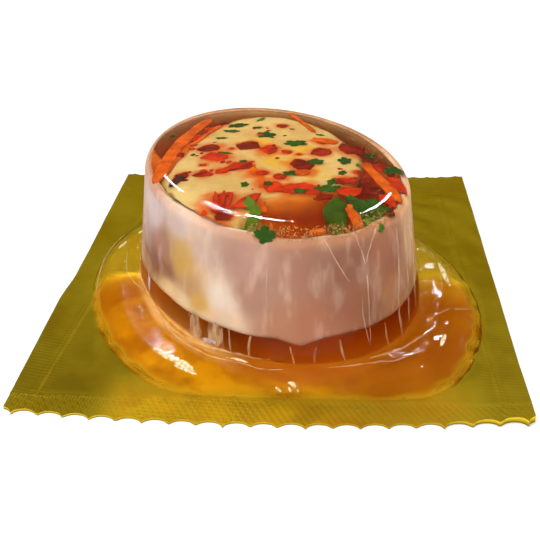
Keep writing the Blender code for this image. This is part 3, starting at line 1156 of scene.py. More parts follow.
@dataclass
class FilmFolds:
    """Thin folds where the drawn film doubles on itself, on the wall and round the foot, coloured as painted
    highlights; the same ribs also make the painted glints on the rim and the painted reflections of the pockets of
    air.
    """

    form: OvalForm = field(default_factory=OvalForm)
    relief: FilmRelief = field(default_factory=FilmRelief)
    grow: float = 0.50 * MM
    spacing: float = 0.45 * MM
    name: str = "film_wall_fold_highlights"
    ribs: tuple[Rib, ...] = (
        Rib(((-100.3, 38.9), (-96.4, 33.6), (-90.8, 27.0)), 0.34),
        Rib(((-87.6, 39.2), (-83.6, 31.2), (-82.7, 24.0), (-82.4, 9.0)), 0.34),
        Rib(((-76.8, 39.3), (-80.2, 35.6), (-83.4, 30.6)), 0.32),
        Rib(((-64.9, 38.6), (-64.4, 28.0), (-65.8, 12.0)), 0.36),
        Rib(((-57.2, 36.0), (-56.8, 24.0), (-58.5, 7.0)), 0.40),
        Rib(((-48.5, 37.0), (-48.0, 22.0), (-50.0, 8.0)), 0.50),
        Rib(((-85.0, 25.0), (-85.4, 17.0), (-82.8, 8.0)), 0.24),
        Rib(((-121.6, 31.5), (-121.9, 24.0), (-121.2, 16.0)), 0.20, 0.12),
        Rib(((40.0, 37.0), (41.0, 24.0), (44.0, 9.0)), 0.34),
        Rib(((78.0, 38.0), (76.0, 30.0), (79.0, 15.0)), 0.34),
        Rib(((118.0, 38.5), (121.0, 31.0), (120.0, 12.0)), 0.34),
    )
    finish: FoldHighlightFinish = field(default_factory=FoldHighlightFinish)

    def _line(self, rib: Rib) -> tuple[np.ndarray, np.ndarray]:
        """Smooth middle line of a fold, and the parameter angle of each of its points."""
        corners = np.array(rib.path)
        rough = np.array([(self.form.on_rim if rib.on_rim else self.form.on_wall)(*spot) for spot in rib.path])
        length = float(np.linalg.norm(np.diff(rough, axis=0), axis=1).sum())
        count = max(8, int(length / self.spacing))
        at = np.linspace(0.0, len(corners) - 1.0, count)
        path = np.stack([np.interp(at, np.arange(len(corners)), corners[:, k]) for k in range(2)], axis=-1)
        for _ in range(count // 3):
            path[1:-1] = 0.25 * path[:-2] + 0.5 * path[1:-1] + 0.25 * path[2:]
        sway = lumps(np.column_stack([path[:, 0] * 0.5 * MM, path[:, 1] * MM, np.zeros(count)]), 3.0 * MM, 21.0)
        path[:, 0] += 0.15 * sway
        place = self.form.on_rim if rib.on_rim else self.form.on_wall
        points = np.array([place(*spot) for spot in path])
        return points, np.radians(path[:, 0])

    def _add(self, work: MeshWork, rib: Rib) -> None:
        """Add one fold as a low rounded ridge that tapers to its ends.

        Args:
            work: Mesh being made.
            rib: The fold.
        """
        points, angle = self._line(rib)
        outward = self.form.at(angle, 1.0, 0.0) - self.form.at(angle, 0.0, 0.0)
        outward[:, 2] = math.tan(self.form.draft) if not rib.on_rim else 0.0
        if rib.on_rim:
            outward = np.broadcast_to(np.array([0.0, 0.0, 1.0]), points.shape)
        outward = outward / np.linalg.norm(outward, axis=-1, keepdims=True)
        lift = self.relief.lift(points[None], angle)[0]
        middle = points + outward * (self.grow + lift)[:, None]
        along = np.gradient(middle, axis=0)
        across = np.cross(along, outward)
        across /= np.maximum(np.linalg.norm(across, axis=-1, keepdims=True), 1e-12)
        share = np.linspace(0.0, 1.0, len(points))
        taper = np.sin(math.pi * np.clip(0.04 + 0.92 * share, 0.0, 1.0)) ** 0.45
        taper = taper * (1.0 + 0.35 * lumps(points, 2.2 * MM, 30.0))
        rows = []
        for turn in np.linspace(0.0, 2.0 * math.pi, 10, endpoint=False):
            side = 0.5 * rib.width * MM * math.cos(turn)
            rise = rib.height * MM * math.sin(turn)
            rows.append(middle + (across * side + outward * rise) * taper[:, None])
        rows = np.stack(rows, axis=1)
        numbers = work.add(rows)
        work.sheet(numbers, wrap=True)
        work.fan(numbers[-1], rows[-1].mean(axis=0))
        work.fan(numbers[0], rows[0].mean(axis=0), flip=True)

    def build(self) -> bpy.types.Object:
        """Build the folds.

        Returns:
            The finished object.
        """
        work = MeshWork()
        for rib in self.ribs:
            self._add(work, rib)
        return settle(work.make(self.name, self.finish.make()), "")


# Folds round the foot and lines on the rim, coloured as painted highlights.
FOOT_FOLD_HIGHLIGHTS = (
    Rib(((-150.4, 12.2), (-149.6, 8.4), (-148.8, 5.4)), 4.0, 0.04),
    Rib(((-141.8, 12.4), (-141.2, 8.6), (-140.4, 5.6)), 4.6, 0.04),
    Rib(((-153.0, 12.4), (-151.6, 8.4), (-150.4, 5.6)), 0.5, 0.12),
    Rib(((-151.0, 12.6), (-150.0, 8.6), (-149.0, 6.4)), 0.4, 0.12),
    Rib(((-148.6, 12.2), (-148.2, 8.6), (-147.6, 6.8)), 0.5, 0.12),
    Rib(((-143.4, 12.4), (-143.2, 9.0), (-142.6, 7.2)), 0.45, 0.12),
    Rib(((-141.2, 12.2), (-140.9, 8.6), (-140.2, 6.0)), 0.5, 0.12),
    Rib(((-138.6, 12.2), (-138.2, 8.6), (-137.6, 5.4)), 0.45, 0.12),
    Rib(((-135.6, 12.2), (-135.2, 8.6), (-134.6, 6.0)), 0.5, 0.12),
    Rib(((-127.4, 11.9), (-128.2, 9.0), (-127.9, 5.4)), 0.8, 0.22),
    Rib(((-113.6, 10.4), (-112.8, 8.4), (-112.1, 5.6)), 0.5, 0.2),
    Rib(((-104.0, 10.4), (-105.2, 8.6), (-104.9, 6.2)), 0.6, 0.16),
    Rib(((-95.4, 11.8), (-94.8, 9.0), (-93.4, 5.4)), 0.7, 0.16),
    Rib(((-74.8, 12.4), (-74.6, 8.4), (-73.0, 5.2)), 0.5, 0.2),
    Rib(((-66.0, 13.0), (-65.4, 6.0)), 0.7, 0.2),
    Rib(((-175.0, 0.05), (-163.2, 0.18), (-153.5, 0.24), (-143.8, 0.22), (-131.7, 0.16), (-120.4, 0.09)), 0.55, 0.3, True),
    Rib(((-86.5, 0.23), (-75.8, 0.27), (-66.1, 0.33), (-58.2, 0.37)), 0.5, 0.3, True),
    Rib(((-164.9, 0.16), (-155.0, 0.28), (-144.1, 0.36), (-131.8, 0.45), (-123.6, 0.52), (-115.8, 0.58)), 0.40, 0.2, True),
    Rib(((-103.0, 0.44), (-92.0, 0.40), (-80.0, 0.44), (-70.0, 0.47)), 0.35, 0.2, True),
    Rib(((-52.0, 0.30), (-44.0, 0.52), (-38.0, 0.90)), 0.40, 0.25, True),
    Rib(((-44.0, 0.22), (-34.0, 0.40), (-24.0, 0.46)), 0.34, 0.25, True),
    Rib(((172.0, 0.95), (160.0, 0.92), (146.0, 0.96), (134.0, 0.90)), 0.40, 0.25, True),
    Rib(((178.0, 0.10), (168.0, 0.30), (152.0, 0.34)), 0.35, 0.2, True),
)

# Pockets of air at the foot, whose pale lilac is a painted reflection.
AIR_POCKETS = (
    Rib(((-180.8, 12.6), (-180.2, 9.8), (-179.2, 7.0)), 2.4, 0.15),
    Rib(((-146.4, 5.9), (-143.5, 6.5), (-140.8, 6.5)), 1.5, 0.15),
)
RIM_GLINTS = (
    Rib(((-154.2, 0.66), (-149.4, 0.64), (-144.2, 0.65), (-139.2, 0.71)), 2.4, 0.25, True),
    Rib(((-145.6, 0.72), (-141.8, 0.72), (-138.4, 0.77)), 1.3, 0.20, True),
    Rib(((-117.4, 0.90), (-116.8, 0.95), (-116.0, 1.0)), 0.9, 0.35, True),
    Rib(((-114.4, 0.82), (-113.4, 0.84), (-112.6, 0.90)), 1.6, 0.35, True),
    Rib(((-114.4, 0.91), (-114.0, 0.95), (-113.8, 1.0)), 0.8, 0.35, True),
    Rib(((-112.2, 0.93), (-112.0, 0.98)), 0.6, 0.30, True),
    Rib(((-133.0, 0.36), (-129.5, 0.40), (-126.0, 0.42)), 0.8, 0.20, True),
    Rib(((-30.0, 0.56), (-24.0, 0.53), (-17.0, 0.57)), 1.4, 0.25, True),
    Rib(((-62.0, 0.60), (-57.0, 0.56)), 1.2, 0.20, True),
    Rib(((128.0, 0.22), (134.0, 0.20), (139.0, 0.30)), 1.2, 0.30, True),
    Rib(((144.0, 0.52), (148.0, 0.62)), 0.9, 0.30, True),
)


@dataclass
class AmberJelly:
    """The jelly: block and squeezed-out rim in one clear body."""

    form: OvalForm = field(default_factory=OvalForm)
    relief: FilmRelief = field(default_factory=FilmRelief)
    grow: float = 0.43 * MM
    bottom: float = 0.35 * MM
    around: int = 360
    counts: tuple[int, int, int, int] = (34, 34, 14, 14)
    finish: JellyFinish = field(default_factory=JellyFinish)

    def build(self) -> bpy.types.Object:
        """Build the jelly.

        Returns:
            The finished object.
        """
        angle = np.linspace(-math.pi, math.pi, self.around, endpoint=False)
        body = self.form.rows(angle, self.grow, self.counts)
        body = raise_rows(body, self.relief.lift(body, angle))
        rim = body[: self.counts[0]]
        low = self.form.floor + 0.1 * MM
        rim[..., 2] = low + (rim[..., 2] - low) * (1.0 - 0.97 * self.form.tent(angle))
        foot = body[0].copy()
        foot[:, 2] = self.bottom
        work = MeshWork()
        rings = work.add(np.concatenate([foot[None], body]))
        work.sheet(rings, wrap=True)
        work.fan(rings[-1], self.form.hub(self.grow))
        work.fan(rings[0], np.array([*self.form.centre, self.bottom]), flip=True)
        thing = work.make("amber_jelly", self.finish.make(), check=False)
        return settle(thing, "amber_jelly", "jelly_block", "jelly_rim")


@dataclass
class HamWall:
    """Slice of cooked ham that lines the mould's side, inside the jelly."""

    form: OvalForm = field(default_factory=OvalForm)
    around: int = 320
    rings: int = 36
    thickness: float = 3.0 * MM
    top: float = 37.8 * MM
    # Painted light for the ham's inner side.
    painted_light_inner: Colour = (0.84, 0.80, 0.80)
    # Painted shade for the ham's top edge.
    painted_shade_top_edge: Colour = (0.40, 0.21, 0.13)
    low_mean: float = 11.3 * MM
    low_rise: float = 1.6 * MM
    low_rise_towards: float = math.radians(-20.0)
    tongue: float = 2.0 * MM
    tongue_at: float = -109.0
    tongue_half: float = 9.0
    # Colour anchors: angle, height in mm and colour. They hold the ham's own tone and painted light and shade: paler
    # on the left where the light falls and darker towards the right in shade, with cream and yellow patches low on the
    # left that are painted highlights and reflections.
    tone_and_light_anchors: tuple[tuple[float, float, Colour], ...] = (
        (-178.0, 33.0, (0.64, 0.52, 0.56)),
        (-160.0, 34.0, (0.64, 0.51, 0.50)),
        (-174.0, 19.0, (0.30, 0.115, 0.06)),
        (-170.0, 25.0, (0.40, 0.20, 0.14)),
        (-167.0, 19.5, (0.34, 0.15, 0.08)),
        (-166.0, 11.6, (0.88, 0.70, 0.50)),
        (-157.0, 12.0, (0.88, 0.70, 0.50)),
        (-158.0, 24.0, (0.62, 0.38, 0.09)),
        (-157.5, 27.0, (0.62, 0.40, 0.14)),
        (-153.0, 19.0, (0.54, 0.33, 0.17)),
        (-148.5, 15.0, (0.66, 0.40, 0.10)),
        (-147.0, 12.0, (0.80, 0.60, 0.38)),
        (-148.0, 30.0, (0.58, 0.42, 0.38)),
        (-140.0, 19.0, (0.82, 0.70, 0.64)),
        (-139.0, 14.0, (0.78, 0.58, 0.46)),
        (-132.0, 31.0, (0.47, 0.28, 0.24)),
        (-128.0, 22.0, (0.42, 0.23, 0.18)),
        (-118.0, 14.0, (0.44, 0.21, 0.13)),
        (-105.0, 31.0, (0.40, 0.20, 0.15)),
        (-105.0, 16.0, (0.43, 0.18, 0.11)),
        (-90.0, 30.0, (0.35, 0.150, 0.100)),
        (-85.0, 18.0, (0.38, 0.150, 0.085)),
        (-70.0, 30.0, (0.44, 0.19, 0.115)),
        (-65.0, 18.0, (0.54, 0.25, 0.13)),
        (-45.0, 28.0, (0.84, 0.53, 0.29)),
        (0.0, 25.0, (0.56, 0.32, 0.24)),
        (60.0, 25.0, (0.58, 0.37, 0.29)),
        (120.0, 25.0, (0.58, 0.37, 0.30)),
        (160.0, 25.0, (0.60, 0.40, 0.34)),
    )
    finish: HamFinish = field(default_factory=HamFinish)

    def _tone(self, angle: np.ndarray, z: np.ndarray) -> np.ndarray:
        """Colour of the ham at each place, blended from the anchors round about: partly its own tone, partly painted
        light and shade.

        Args:
            angle: Parameter angles.
            z: Heights of the same shape.

        Returns:
            Colours, (..., 3).
        """
        degrees = np.degrees(angle)
        total = np.zeros(z.shape)
        colour = np.zeros((*z.shape, 3))
        for at, height, tone in self.tone_and_light_anchors:
            away = np.abs((degrees - at + 180.0) % 360.0 - 180.0) * 0.75
            weight = 1.0 / (away**2 + (z / MM - height) ** 2 + 3.0) ** 2
            total += weight
            colour += weight[..., None] * np.array(tone)
        return colour / total[..., None]

    def _low(self, angle: np.ndarray) -> np.ndarray:
        """Height of the ham's lower edge."""
        rise = self.low_rise * np.cos(angle + self.form.turn - self.low_rise_towards)
        away = np.abs((np.degrees(angle) - self.tongue_at + 180.0) % 360.0 - 180.0)
        drop = self.tongue * np.maximum(0.0, 1.0 - away / self.tongue_half)
        ragged = 0.15 * MM * np.sin(7.0 * angle + 1.0) + 0.08 * MM * np.sin(23.0 * angle)
        return self.low_mean + rise - drop + ragged

    def _recess(self, angle: np.ndarray, z: np.ndarray) -> np.ndarray:
        """How deep in the jelly the ham's outside lies."""
        degrees = np.degrees(angle)
        right = smooth_step(-100.0, -30.0, degrees) * smooth_step(40.0, 0.0, degrees)
        left_away = np.abs((degrees + 172.0 + 180.0) % 360.0 - 180.0)
        low_left = smooth_step(22.0, 4.0, left_away) * smooth_step(21.0 * MM, 15.0 * MM, z)
        return 0.15 * MM + 0.9 * MM * right + 1.8 * MM * low_left

    def build(self) -> bpy.types.Object:
        """Build the ham wall.

        Returns:
            The finished object.
        """
        angle = np.linspace(-math.pi, math.pi, self.around, endpoint=False)
        low = self._low(angle)
        outside, inside, heights = [], [], []
        for share in np.linspace(0.0, 1.0, self.rings):
            crest = self.top + 0.35 * MM * np.sin(9.0 * angle + 0.7) * np.sin(4.0 * angle)
            z = low + share * (crest - low)
            ends = np.minimum(share, 1.0 - share) * (self.top - low)
            round_off = 0.55 * MM * (1.0 - np.minimum(1.0, ends / (0.8 * MM))) ** 2
            bend = np.maximum(0.0, z - 35.0 * MM)
            shoulder = bend * bend / (2.0 * self.form.shoulder)
            off = self.form.wall_offset(z) - self._recess(angle, z) - round_off - shoulder
            spot = self.form.at(angle, off, z)
            spot = self.form.at(angle, off + 0.16 * MM * lumps(spot, 5.0 * MM, 8.0), z)
            outside.append(spot)
            inner = self.form.wall_offset(z) - self.thickness + 0.4 * round_off
            inner += 0.20 * MM * lumps(spot, 6.0 * MM, 3.0)
            inside.append(self.form.at(angle, np.minimum(inner, off - 0.9 * MM), z))
            heights.append(z)
        work = MeshWork()
        rings = work.add(np.array(outside + inside[::-1] + [outside[0]]))
        rings[-1] = rings[0]
        work.sheet(rings, wrap=True)
        thing = work.make("ham_slice_wall", self.finish.make())
        z = np.array(heights + heights[::-1] + [heights[0]])
        tone = self._tone(np.broadcast_to(angle, z.shape), z)
        # Painted light: the inner side takes one paler colour.
        tone[self.rings : 2 * self.rings] = self.painted_light_inner
        # Painted shade along the ham's top edge, strongest at the front and the back, with a ragged lower border.
        spots = np.stack([angle * 30.0 * MM + 0.0 * z, z, 0.0 * z], axis=-1)
        height = (z - self.top) / MM + 0.9 * lumps(spots, 1.6 * MM, 17.0)
        degrees = np.degrees(angle)
        front = smooth_step(-138.0, -122.0, degrees) * smooth_step(-40.0, -62.0, degrees)
        back = smooth_step(-30.0, 10.0, degrees) + smooth_step(-168.0, -178.0, degrees)
        edge = (smooth_step(-3.4, -0.6, height) * (0.06 + 0.60 * front + 0.70 * back))[..., None]
        tone = tone * (1.0 - edge) + np.array(self.painted_shade_top_edge) * edge
        mark_points(thing, "ham_tone_and_light", tone.reshape(-1, 3))
        return settle(thing, "cooked_ham", "ham_wall")


# ---------------------------------------------------------------- filling


@dataclass
class EggFilling:
    """Pale egg filling under the top, with a lumpy upper side."""

    outline: tuple[tuple[float, float], ...] = (
        (-30.5, -24.0), (-26.0, -36.0), (-18.5, -44.5), (-10.0, -48.0), (-5.0, -44.0), (-2.0, -36.0),
        (6.0, -32.5), (15.5, -29.5), (22.5, -23.0), (25.5, -12.0), (24.0, 0.0), (19.0, 12.0),
        (11.0, 24.0), (1.0, 31.5), (-9.0, 32.0), (-17.5, 27.0), (-23.5, 17.0), (-27.0, 5.0), (-30.0, -9.0),
    )
    yolks: tuple[tuple[float, float, float], ...] = ((1.0, -8.0, 7.5), (11.0, -17.0, 6.0), (-6.0, 4.0, 6.0), (8.0, 1.0, 5.0))
    stains: tuple[tuple[float, float, float], ...] = ((-5.0, -18.0, 5.0), (-2.0, -23.0, 5.0), (9.0, -16.5, 4.0))
    top: float = 38.6 * MM
    bottom: float = 14.0 * MM
    around: int = 220
    form: OvalForm = field(default_factory=OvalForm)
    finish: EggFinish = field(default_factory=EggFinish)

    def _ring(self) -> np.ndarray:
        """Smooth outline in plan, in metres."""
        corners = np.array(self.outline) * MM
        count = len(corners)
        at = np.linspace(0.0, count, self.around, endpoint=False)
        first = at.astype(int)
        share = (at - first)[:, None]
        p0, p1 = corners[(first - 1) % count], corners[first % count]
        p2, p3 = corners[(first + 1) % count], corners[(first + 2) % count]
        cubic = 2 * p1 + (p2 - p0) * share + (2 * p0 - 5 * p1 + 4 * p2 - p3) * share**2
        return 0.5 * (cubic + (3 * p1 - p0 - 3 * p2 + p3) * share**3)

    def _patches(self, rows: np.ndarray, spots: tuple[tuple[float, float, float], ...]) -> np.ndarray:
        """Soft patches about spots on the upper side, from 0 to 1."""
        total = np.zeros(rows.shape[:-1])
        ragged = 1.0 + 0.35 * lumps(rows, 3.0 * MM, 12.0)
        for x, y, size in spots:
            gap = np.hypot(rows[..., 0] - x * MM, rows[..., 1] - y * MM) * ragged
            total = np.maximum(total, smooth_step(1.15 * size * MM, 0.45 * size * MM, gap))
        return total * smooth_step(30.0 * MM, 36.0 * MM, rows[..., 2])

    def _front_flank(self, rows: np.ndarray) -> np.ndarray:
        """Part of the front side that the jelly in front of it tints deep orange."""
        x, y, z = rows[..., 0], rows[..., 1], rows[..., 2]
        across = smooth_step(-7.0 * MM, -1.0 * MM, x) * smooth_step(27.0 * MM, 20.0 * MM, x)
        low = smooth_step(38.4 * MM, 37.0 * MM, z + 0.6 * MM * lumps(rows, 3.0 * MM, 14.0))
        streaks = 0.75 + 0.35 * lumps(rows * np.array([1.0, 1.0, 0.15]), 2.6 * MM, 19.0)
        return across * low * smooth_step(-20.0 * MM, -25.0 * MM, y) * streaks

    def _inside_ham(self, rows: np.ndarray) -> np.ndarray:
        """Draw in whatever would reach the ham wall, save over its top edge."""
        form = self.form
        z = rows[..., 2]
        inset = (3.5 - 1.7 * smooth_step(38.0 * MM, 38.9 * MM, z)) * MM
        limit = form.at(form.parameter(rows[..., 0], rows[..., 1]), form.wall_offset(z) - inset, z)
        centre = np.array(form.centre)
        far = np.linalg.norm(limit[..., :2] - centre, axis=-1)
        here = np.maximum(np.linalg.norm(rows[..., :2] - centre, axis=-1), 1e-6)
        scale = np.minimum(1.0, far / here)[..., None]
        drawn = rows.copy()
        drawn[..., :2] = centre + (rows[..., :2] - centre) * scale
        return drawn

    def build(self) -> bpy.types.Object:
        """Build the filling.

        Returns:
            The finished object.
        """
        plan = self._ring()
        middle = plan.mean(axis=0)
        rows = []
        for share in np.linspace(0.0, 1.0, 12):
            z = self.bottom + share * (self.top - self.bottom)
            pull = 0.97 - 0.12 * (1.0 - share) ** 2 - 0.05 * max(0.0, (share - 0.85) / 0.15) ** 2
            rows.append(np.column_stack([middle + (plan - middle) * pull, np.full(self.around, z)]))
        for share in np.linspace(0.89, 0.03, 40):
            ring = np.column_stack([middle + (plan - middle) * share, np.full(self.around, self.top)])
            ring[:, 2] += 0.7 * MM * (1.0 - share**6)
            rows.append(ring)
        rows = np.array(rows)
        soft = smooth_step(30.0 * MM, 38.0 * MM, rows[..., 2])
        swell = 0.75 * lumps(rows, 9.0 * MM, 1.0) + 0.45 * lumps(rows, 3.6 * MM, 6.0) + 0.18 * lumps(rows, 1.5 * MM, 2.0)
        rows[..., 2] += MM * swell * soft
        sides = 0.5 * MM * lumps(rows, 7.0 * MM, 9.0)
        outward = rows[..., :2] - middle
        size = np.maximum(np.linalg.norm(outward, axis=-1, keepdims=True), 1e-6)
        rows[..., :2] += outward / size * sides[..., None]
        rows = self._inside_ham(rows)
        work = MeshWork()
        rings = work.add(rows)
        work.sheet(rings, wrap=True)
        hub = np.array([*middle, rows[-1, :, 2].mean()])
        work.fan(rings[-1], hub)
        work.fan(rings[0], np.array([*middle, self.bottom]), flip=True)
        thing = work.make("egg_filling", self.finish.make())
        mark_points(thing, "yolk", self._patches(rows, self.yolks).reshape(-1))
        mark_points(thing, "stain", 0.88 * self._patches(rows, self.stains).reshape(-1))
        mark_points(thing, "flank", np.clip(self._front_flank(rows), 0.0, 1.0).reshape(-1))
        return settle(thing, "")


@dataclass
class CarrotStrips:
    """Soft strips of carrot that lie along the mould's top edge."""

    paths: tuple[tuple[tuple[float, float, float], ...], ...] = (
        ((-31.8, -19.0, 37.6), (-31.2, -8.0, 38.6), (-29.8, 5.0, 39.0), (-26.9, 16.6, 39.0), (-23.2, 27.6, 38.6)),
        ((24.6, -9.5, 39.0), (28.6, -21.2, 39.4), (32.6, -31.6, 38.4)),
        ((1.5, 33.5, 38.6), (5.8, 24.5, 39.4), (10.4, 14.2, 39.5)),
        ((19.6, -36.6, 38.8), (21.0, -40.6, 37.8), (22.2, -44.4, 36.8)),
        ((9.4, 8.2, 39.5), (13.4, 7.2, 39.7), (17.3, 5.6, 39.5)),
        ((5.6, -17.6, 39.7), (9.6, -17.0, 39.7)),
        ((-26.0, 3.0, 38.8), (-22.0, 15.0, 38.9), (-19.0, 21.0, 38.8)),
        ((-7.6, -11.2, 39.0), (-5.0, -18.5, 38.9), (-2.2, -27.2, 38.3)),
        ((-2.6, -34.0, 37.4), (-1.4, -40.0, 36.4)),
        ((10.4, -49.0, 38.0), (12.0, -48.7, 38.1), (13.8, -48.0, 38.0)),
    )
    widths: tuple[float, ...] = (4.0, 3.0, 1.5, 2.6, 3.6, 3.4, 1.7, 3.3, 2.4, 1.2)
    depth: float = 1.3
    steps: int = 60
    finish: FoodFinish = FoodFinish(
        "soft carrot", (0.34, 0.052, 0.002), (0.70, 0.155, 0.007), grain=260.0, glow=0.3
    )

    def _sweep(self, work: MeshWork, path: np.ndarray, width: float) -> None:
        """Add one strip with rounded corners.

        Args:
            work: Mesh being made.
            path: Corners of its middle line, in mm.
            width: Width in mm.
        """
        share = np.linspace(0.0, len(path) - 1.0, self.steps)
        line = np.stack([np.interp(share, np.arange(len(path)), path[:, k]) for k in range(3)], axis=-1)
        for _ in range(30):
            line[1:-1] = 0.25 * line[:-2] + 0.5 * line[1:-1] + 0.25 * line[2:]
        along = np.gradient(line, axis=0)
        along /= np.linalg.norm(along, axis=-1, keepdims=True)
        across = np.cross(along, np.array([0.0, 0.0, 1.0]))
        across /= np.linalg.norm(across, axis=-1, keepdims=True)
        rows = []
        turn = np.linspace(0.0, 2.0 * math.pi, 20, endpoint=False)
        square = 1.0 / (np.abs(np.cos(turn)) ** 4 + np.abs(np.sin(turn)) ** 4) ** 0.25
        for step in range(self.steps):
            end = min(step, self.steps - 1 - step) / 5.0
            full = math.sqrt(max(0.0, 1.0 - (1.0 - min(1.0, end)) ** 2)) * 0.96 + 0.04
            half = 0.5 * width * full * (1.0 + 0.10 * math.sin(0.13 * step + width) + 0.06 * math.sin(0.41 * step))
            side = half * square * np.cos(turn)
            rise = 0.5 * self.depth * full * square * np.sin(turn)
            ring = line[step] + side[:, None] * across[step] + rise[:, None] * np.array([0.0, 0.0, 1.0])
            rows.append(ring * MM)
        rows = np.array(rows)
        numbers = work.add(rows)
        work.sheet(numbers, wrap=True)
        work.fan(numbers[-1], rows[-1].mean(axis=0))
        work.fan(numbers[0], rows[0].mean(axis=0), flip=True)

    def build(self) -> bpy.types.Object:
        """Build the strips.

        Returns:
            The finished object.
        """
        work = MeshWork()
        for path, width in zip(self.paths, self.widths):
            self._sweep(work, np.array(path), width)
        return settle(work.make("carrot_strips", self.finish.make()), "")


class Garnish(Enum):
    """Kinds of small garnish that lie under the top."""

    RED_PEPPER = "red pepper"
    DARK_PEPPER = "dark pepper"
    GREEN_LEAF = "green leaf"
    PALE_LEAF = "pale leaf"
    BLACK_FLECK = "black fleck"
    OVAL_LEAF = "oval leaf"


@dataclass(frozen=True)
class Bit:
    """One flake or leaf: its place and size in mm, and its turn in degrees."""

    x: float
    y: float
    length: float
    width: float
    turn: float
    depth: float = 1.9
    lean: float = 0.0


@dataclass
class Flakes:
    """Many small flat bits of one kind of garnish, in one mesh."""

    kind: Garnish
    bits: tuple[Bit, ...]
    thickness: float
    finish: FoodFinish
    lobes: int = 0
    swell: float = 1.0
    tilt: float = 5.0
    seed: int = 1
    crumbs: int = 0
    form: OvalForm = field(default_factory=OvalForm)
    ground: BVHTree | None = None

    def _drape(self, rows: np.ndarray, level: float) -> np.ndarray:
        """Lay a bit on the filling's upper side, or leave it where there is none."""
        if self.ground is None:
            return rows
        flat = rows.reshape(-1, 3)
        floor = level - 0.9 * MM
        for point in flat:
            spot, _, _, _ = self.ground.ray_cast(Vector((point[0], point[1], 0.05)), Vector((0.0, 0.0, -1.0)))
            under = floor if spot is None else max(floor, spot.z + 0.12 * MM)
            point[2] += under - level
        return rows

    def _well_inside(self, x: float, y: float) -> bool:
        """Whether a place in mm lies at least 5 mm inside the wall's top."""
        spot = np.array([x, y]) * MM
        edge = self.form.at(self.form.parameter(*spot), -5.0 * MM, 0.0)[:2]
        centre = np.array(self.form.centre)
        return bool(np.linalg.norm(spot - centre) < np.linalg.norm(edge - centre))

    def _crumbs(self, chance: np.random.Generator) -> list[Bit]:
        """Small crumbs scattered round the larger bits."""
        extra = []
        for _ in range(self.crumbs):
            near = self.bits[int(chance.integers(len(self.bits)))]
            if near.lean:
                continue
            turn, away = chance.uniform(0.0, 6.3), chance.uniform(2.8, 6.5)
            size = chance.uniform(0.6, 1.7)
            x, y = near.x + away * math.cos(turn), near.y + away * math.sin(turn)
            if not self._well_inside(x, y):
                continue
            extra.append(Bit(x, y, size, size * chance.uniform(0.6, 1.0), chance.uniform(0.0, 180.0)))
        return extra

    def _outline(self, chance: np.random.Generator) -> np.ndarray:
        """Outline of one bit with unit half size: a torn dice, or a lobed leaf."""
        turn = np.linspace(-math.pi, math.pi, 132, endpoint=False)
        if self.lobes == 1:
            reach = (0.82 + 0.18 * np.cos(turn) ** 6) * (1.0 - 0.05 * np.abs(np.sin(9.0 * turn)))
            return np.stack([reach * np.cos(turn), reach * np.sin(turn)], axis=-1)
        if self.lobes:
            lobe = np.abs(np.cos(0.5 * self.lobes * turn)) ** 0.5
            teeth = np.abs(np.sin(2.0 * self.lobes * turn + chance.uniform(0.0, 3.0)))
            uneven = 0.18 * np.sin(turn + chance.uniform(0.0, 6.3)) + 0.12 * np.sin(2.0 * turn + chance.uniform(0.0, 6.3))
            reach = (0.56 + 0.46 * lobe - 0.11 * teeth) * (1.0 + uneven)
            return np.stack([reach * np.cos(turn), reach * np.sin(turn)], axis=-1)
        corners = int(chance.integers(6, 11))
        around = (np.arange(corners) + chance.uniform(-0.38, 0.38, corners)) * 2.0 * math.pi / corners
        reach = chance.uniform(0.66, 1.20, corners) / np.maximum(np.abs(np.cos(around)), np.abs(np.sin(around))) ** 0.4
        points = np.stack([reach * np.cos(around), reach * np.sin(around)], axis=-1)
        at = np.linspace(0.0, corners, 54, endpoint=False)
        first = at.astype(int)
        share = (at - first)[:, None]
        plan = points[first] * (1.0 - share) + points[(first + 1) % corners] * share
        for _ in range(2):
            plan = 0.25 * np.roll(plan, 1, 0) + 0.5 * plan + 0.25 * np.roll(plan, -1, 0)
        return plan * (1.0 + 0.035 * chance.normal(size=(54, 1)))

    def _one(self, work: MeshWork, bit: Bit, chance: np.random.Generator) -> int:
        """Add one bit.

        Args:
            work: Mesh being made.
            bit: Where it lies.
            chance: Source of its irregular outline.

        Returns:
            How many points it has.
        """
        plan = self._outline(chance) * np.array([0.5 * bit.length, 0.5 * bit.width]) * self.swell
        curl = chance.uniform(-0.5, 0.5)
        rows = []
        half = 0.5 * self.thickness * chance.uniform(0.7, 1.2)
        for share, rise in ((0.35, half), (0.75, half), (0.94, 0.75 * half), (1.0, 0.0), (0.94, -0.75 * half), (0.75, -half), (0.35, -half)):
            ring = np.column_stack([plan * share, np.full(len(plan), rise)])
            ring[:, 2] += curl * 0.06 * (ring[:, 0] ** 2 - 0.6 * ring[:, 1] ** 2)
            rows.append(ring)
        rows = np.array(rows)[::-1]
        turn = Matrix.Rotation(math.radians(bit.turn), 3, "Z")
        lean = Matrix.Rotation(math.radians(bit.lean + chance.uniform(-self.tilt, self.tilt)), 3, "X")
        pitch = Matrix.Rotation(math.radians(chance.uniform(-self.tilt, self.tilt)), 3, "Y")
        move = np.array(lean @ pitch @ turn)
        top = (self.form.top + self.form.crown) / MM
        place = np.array([bit.x, bit.y, top - bit.depth])
        rows = (rows @ move.T + place) * MM
        if not bit.lean:
            rows = self._drape(rows, place[2] * MM)
        numbers = work.add(rows)
        work.sheet(numbers, wrap=True)
        work.fan(numbers[-1], rows[-1].mean(axis=0))
        work.fan(numbers[0], rows[0].mean(axis=0), flip=True)
        return numbers.size + 2

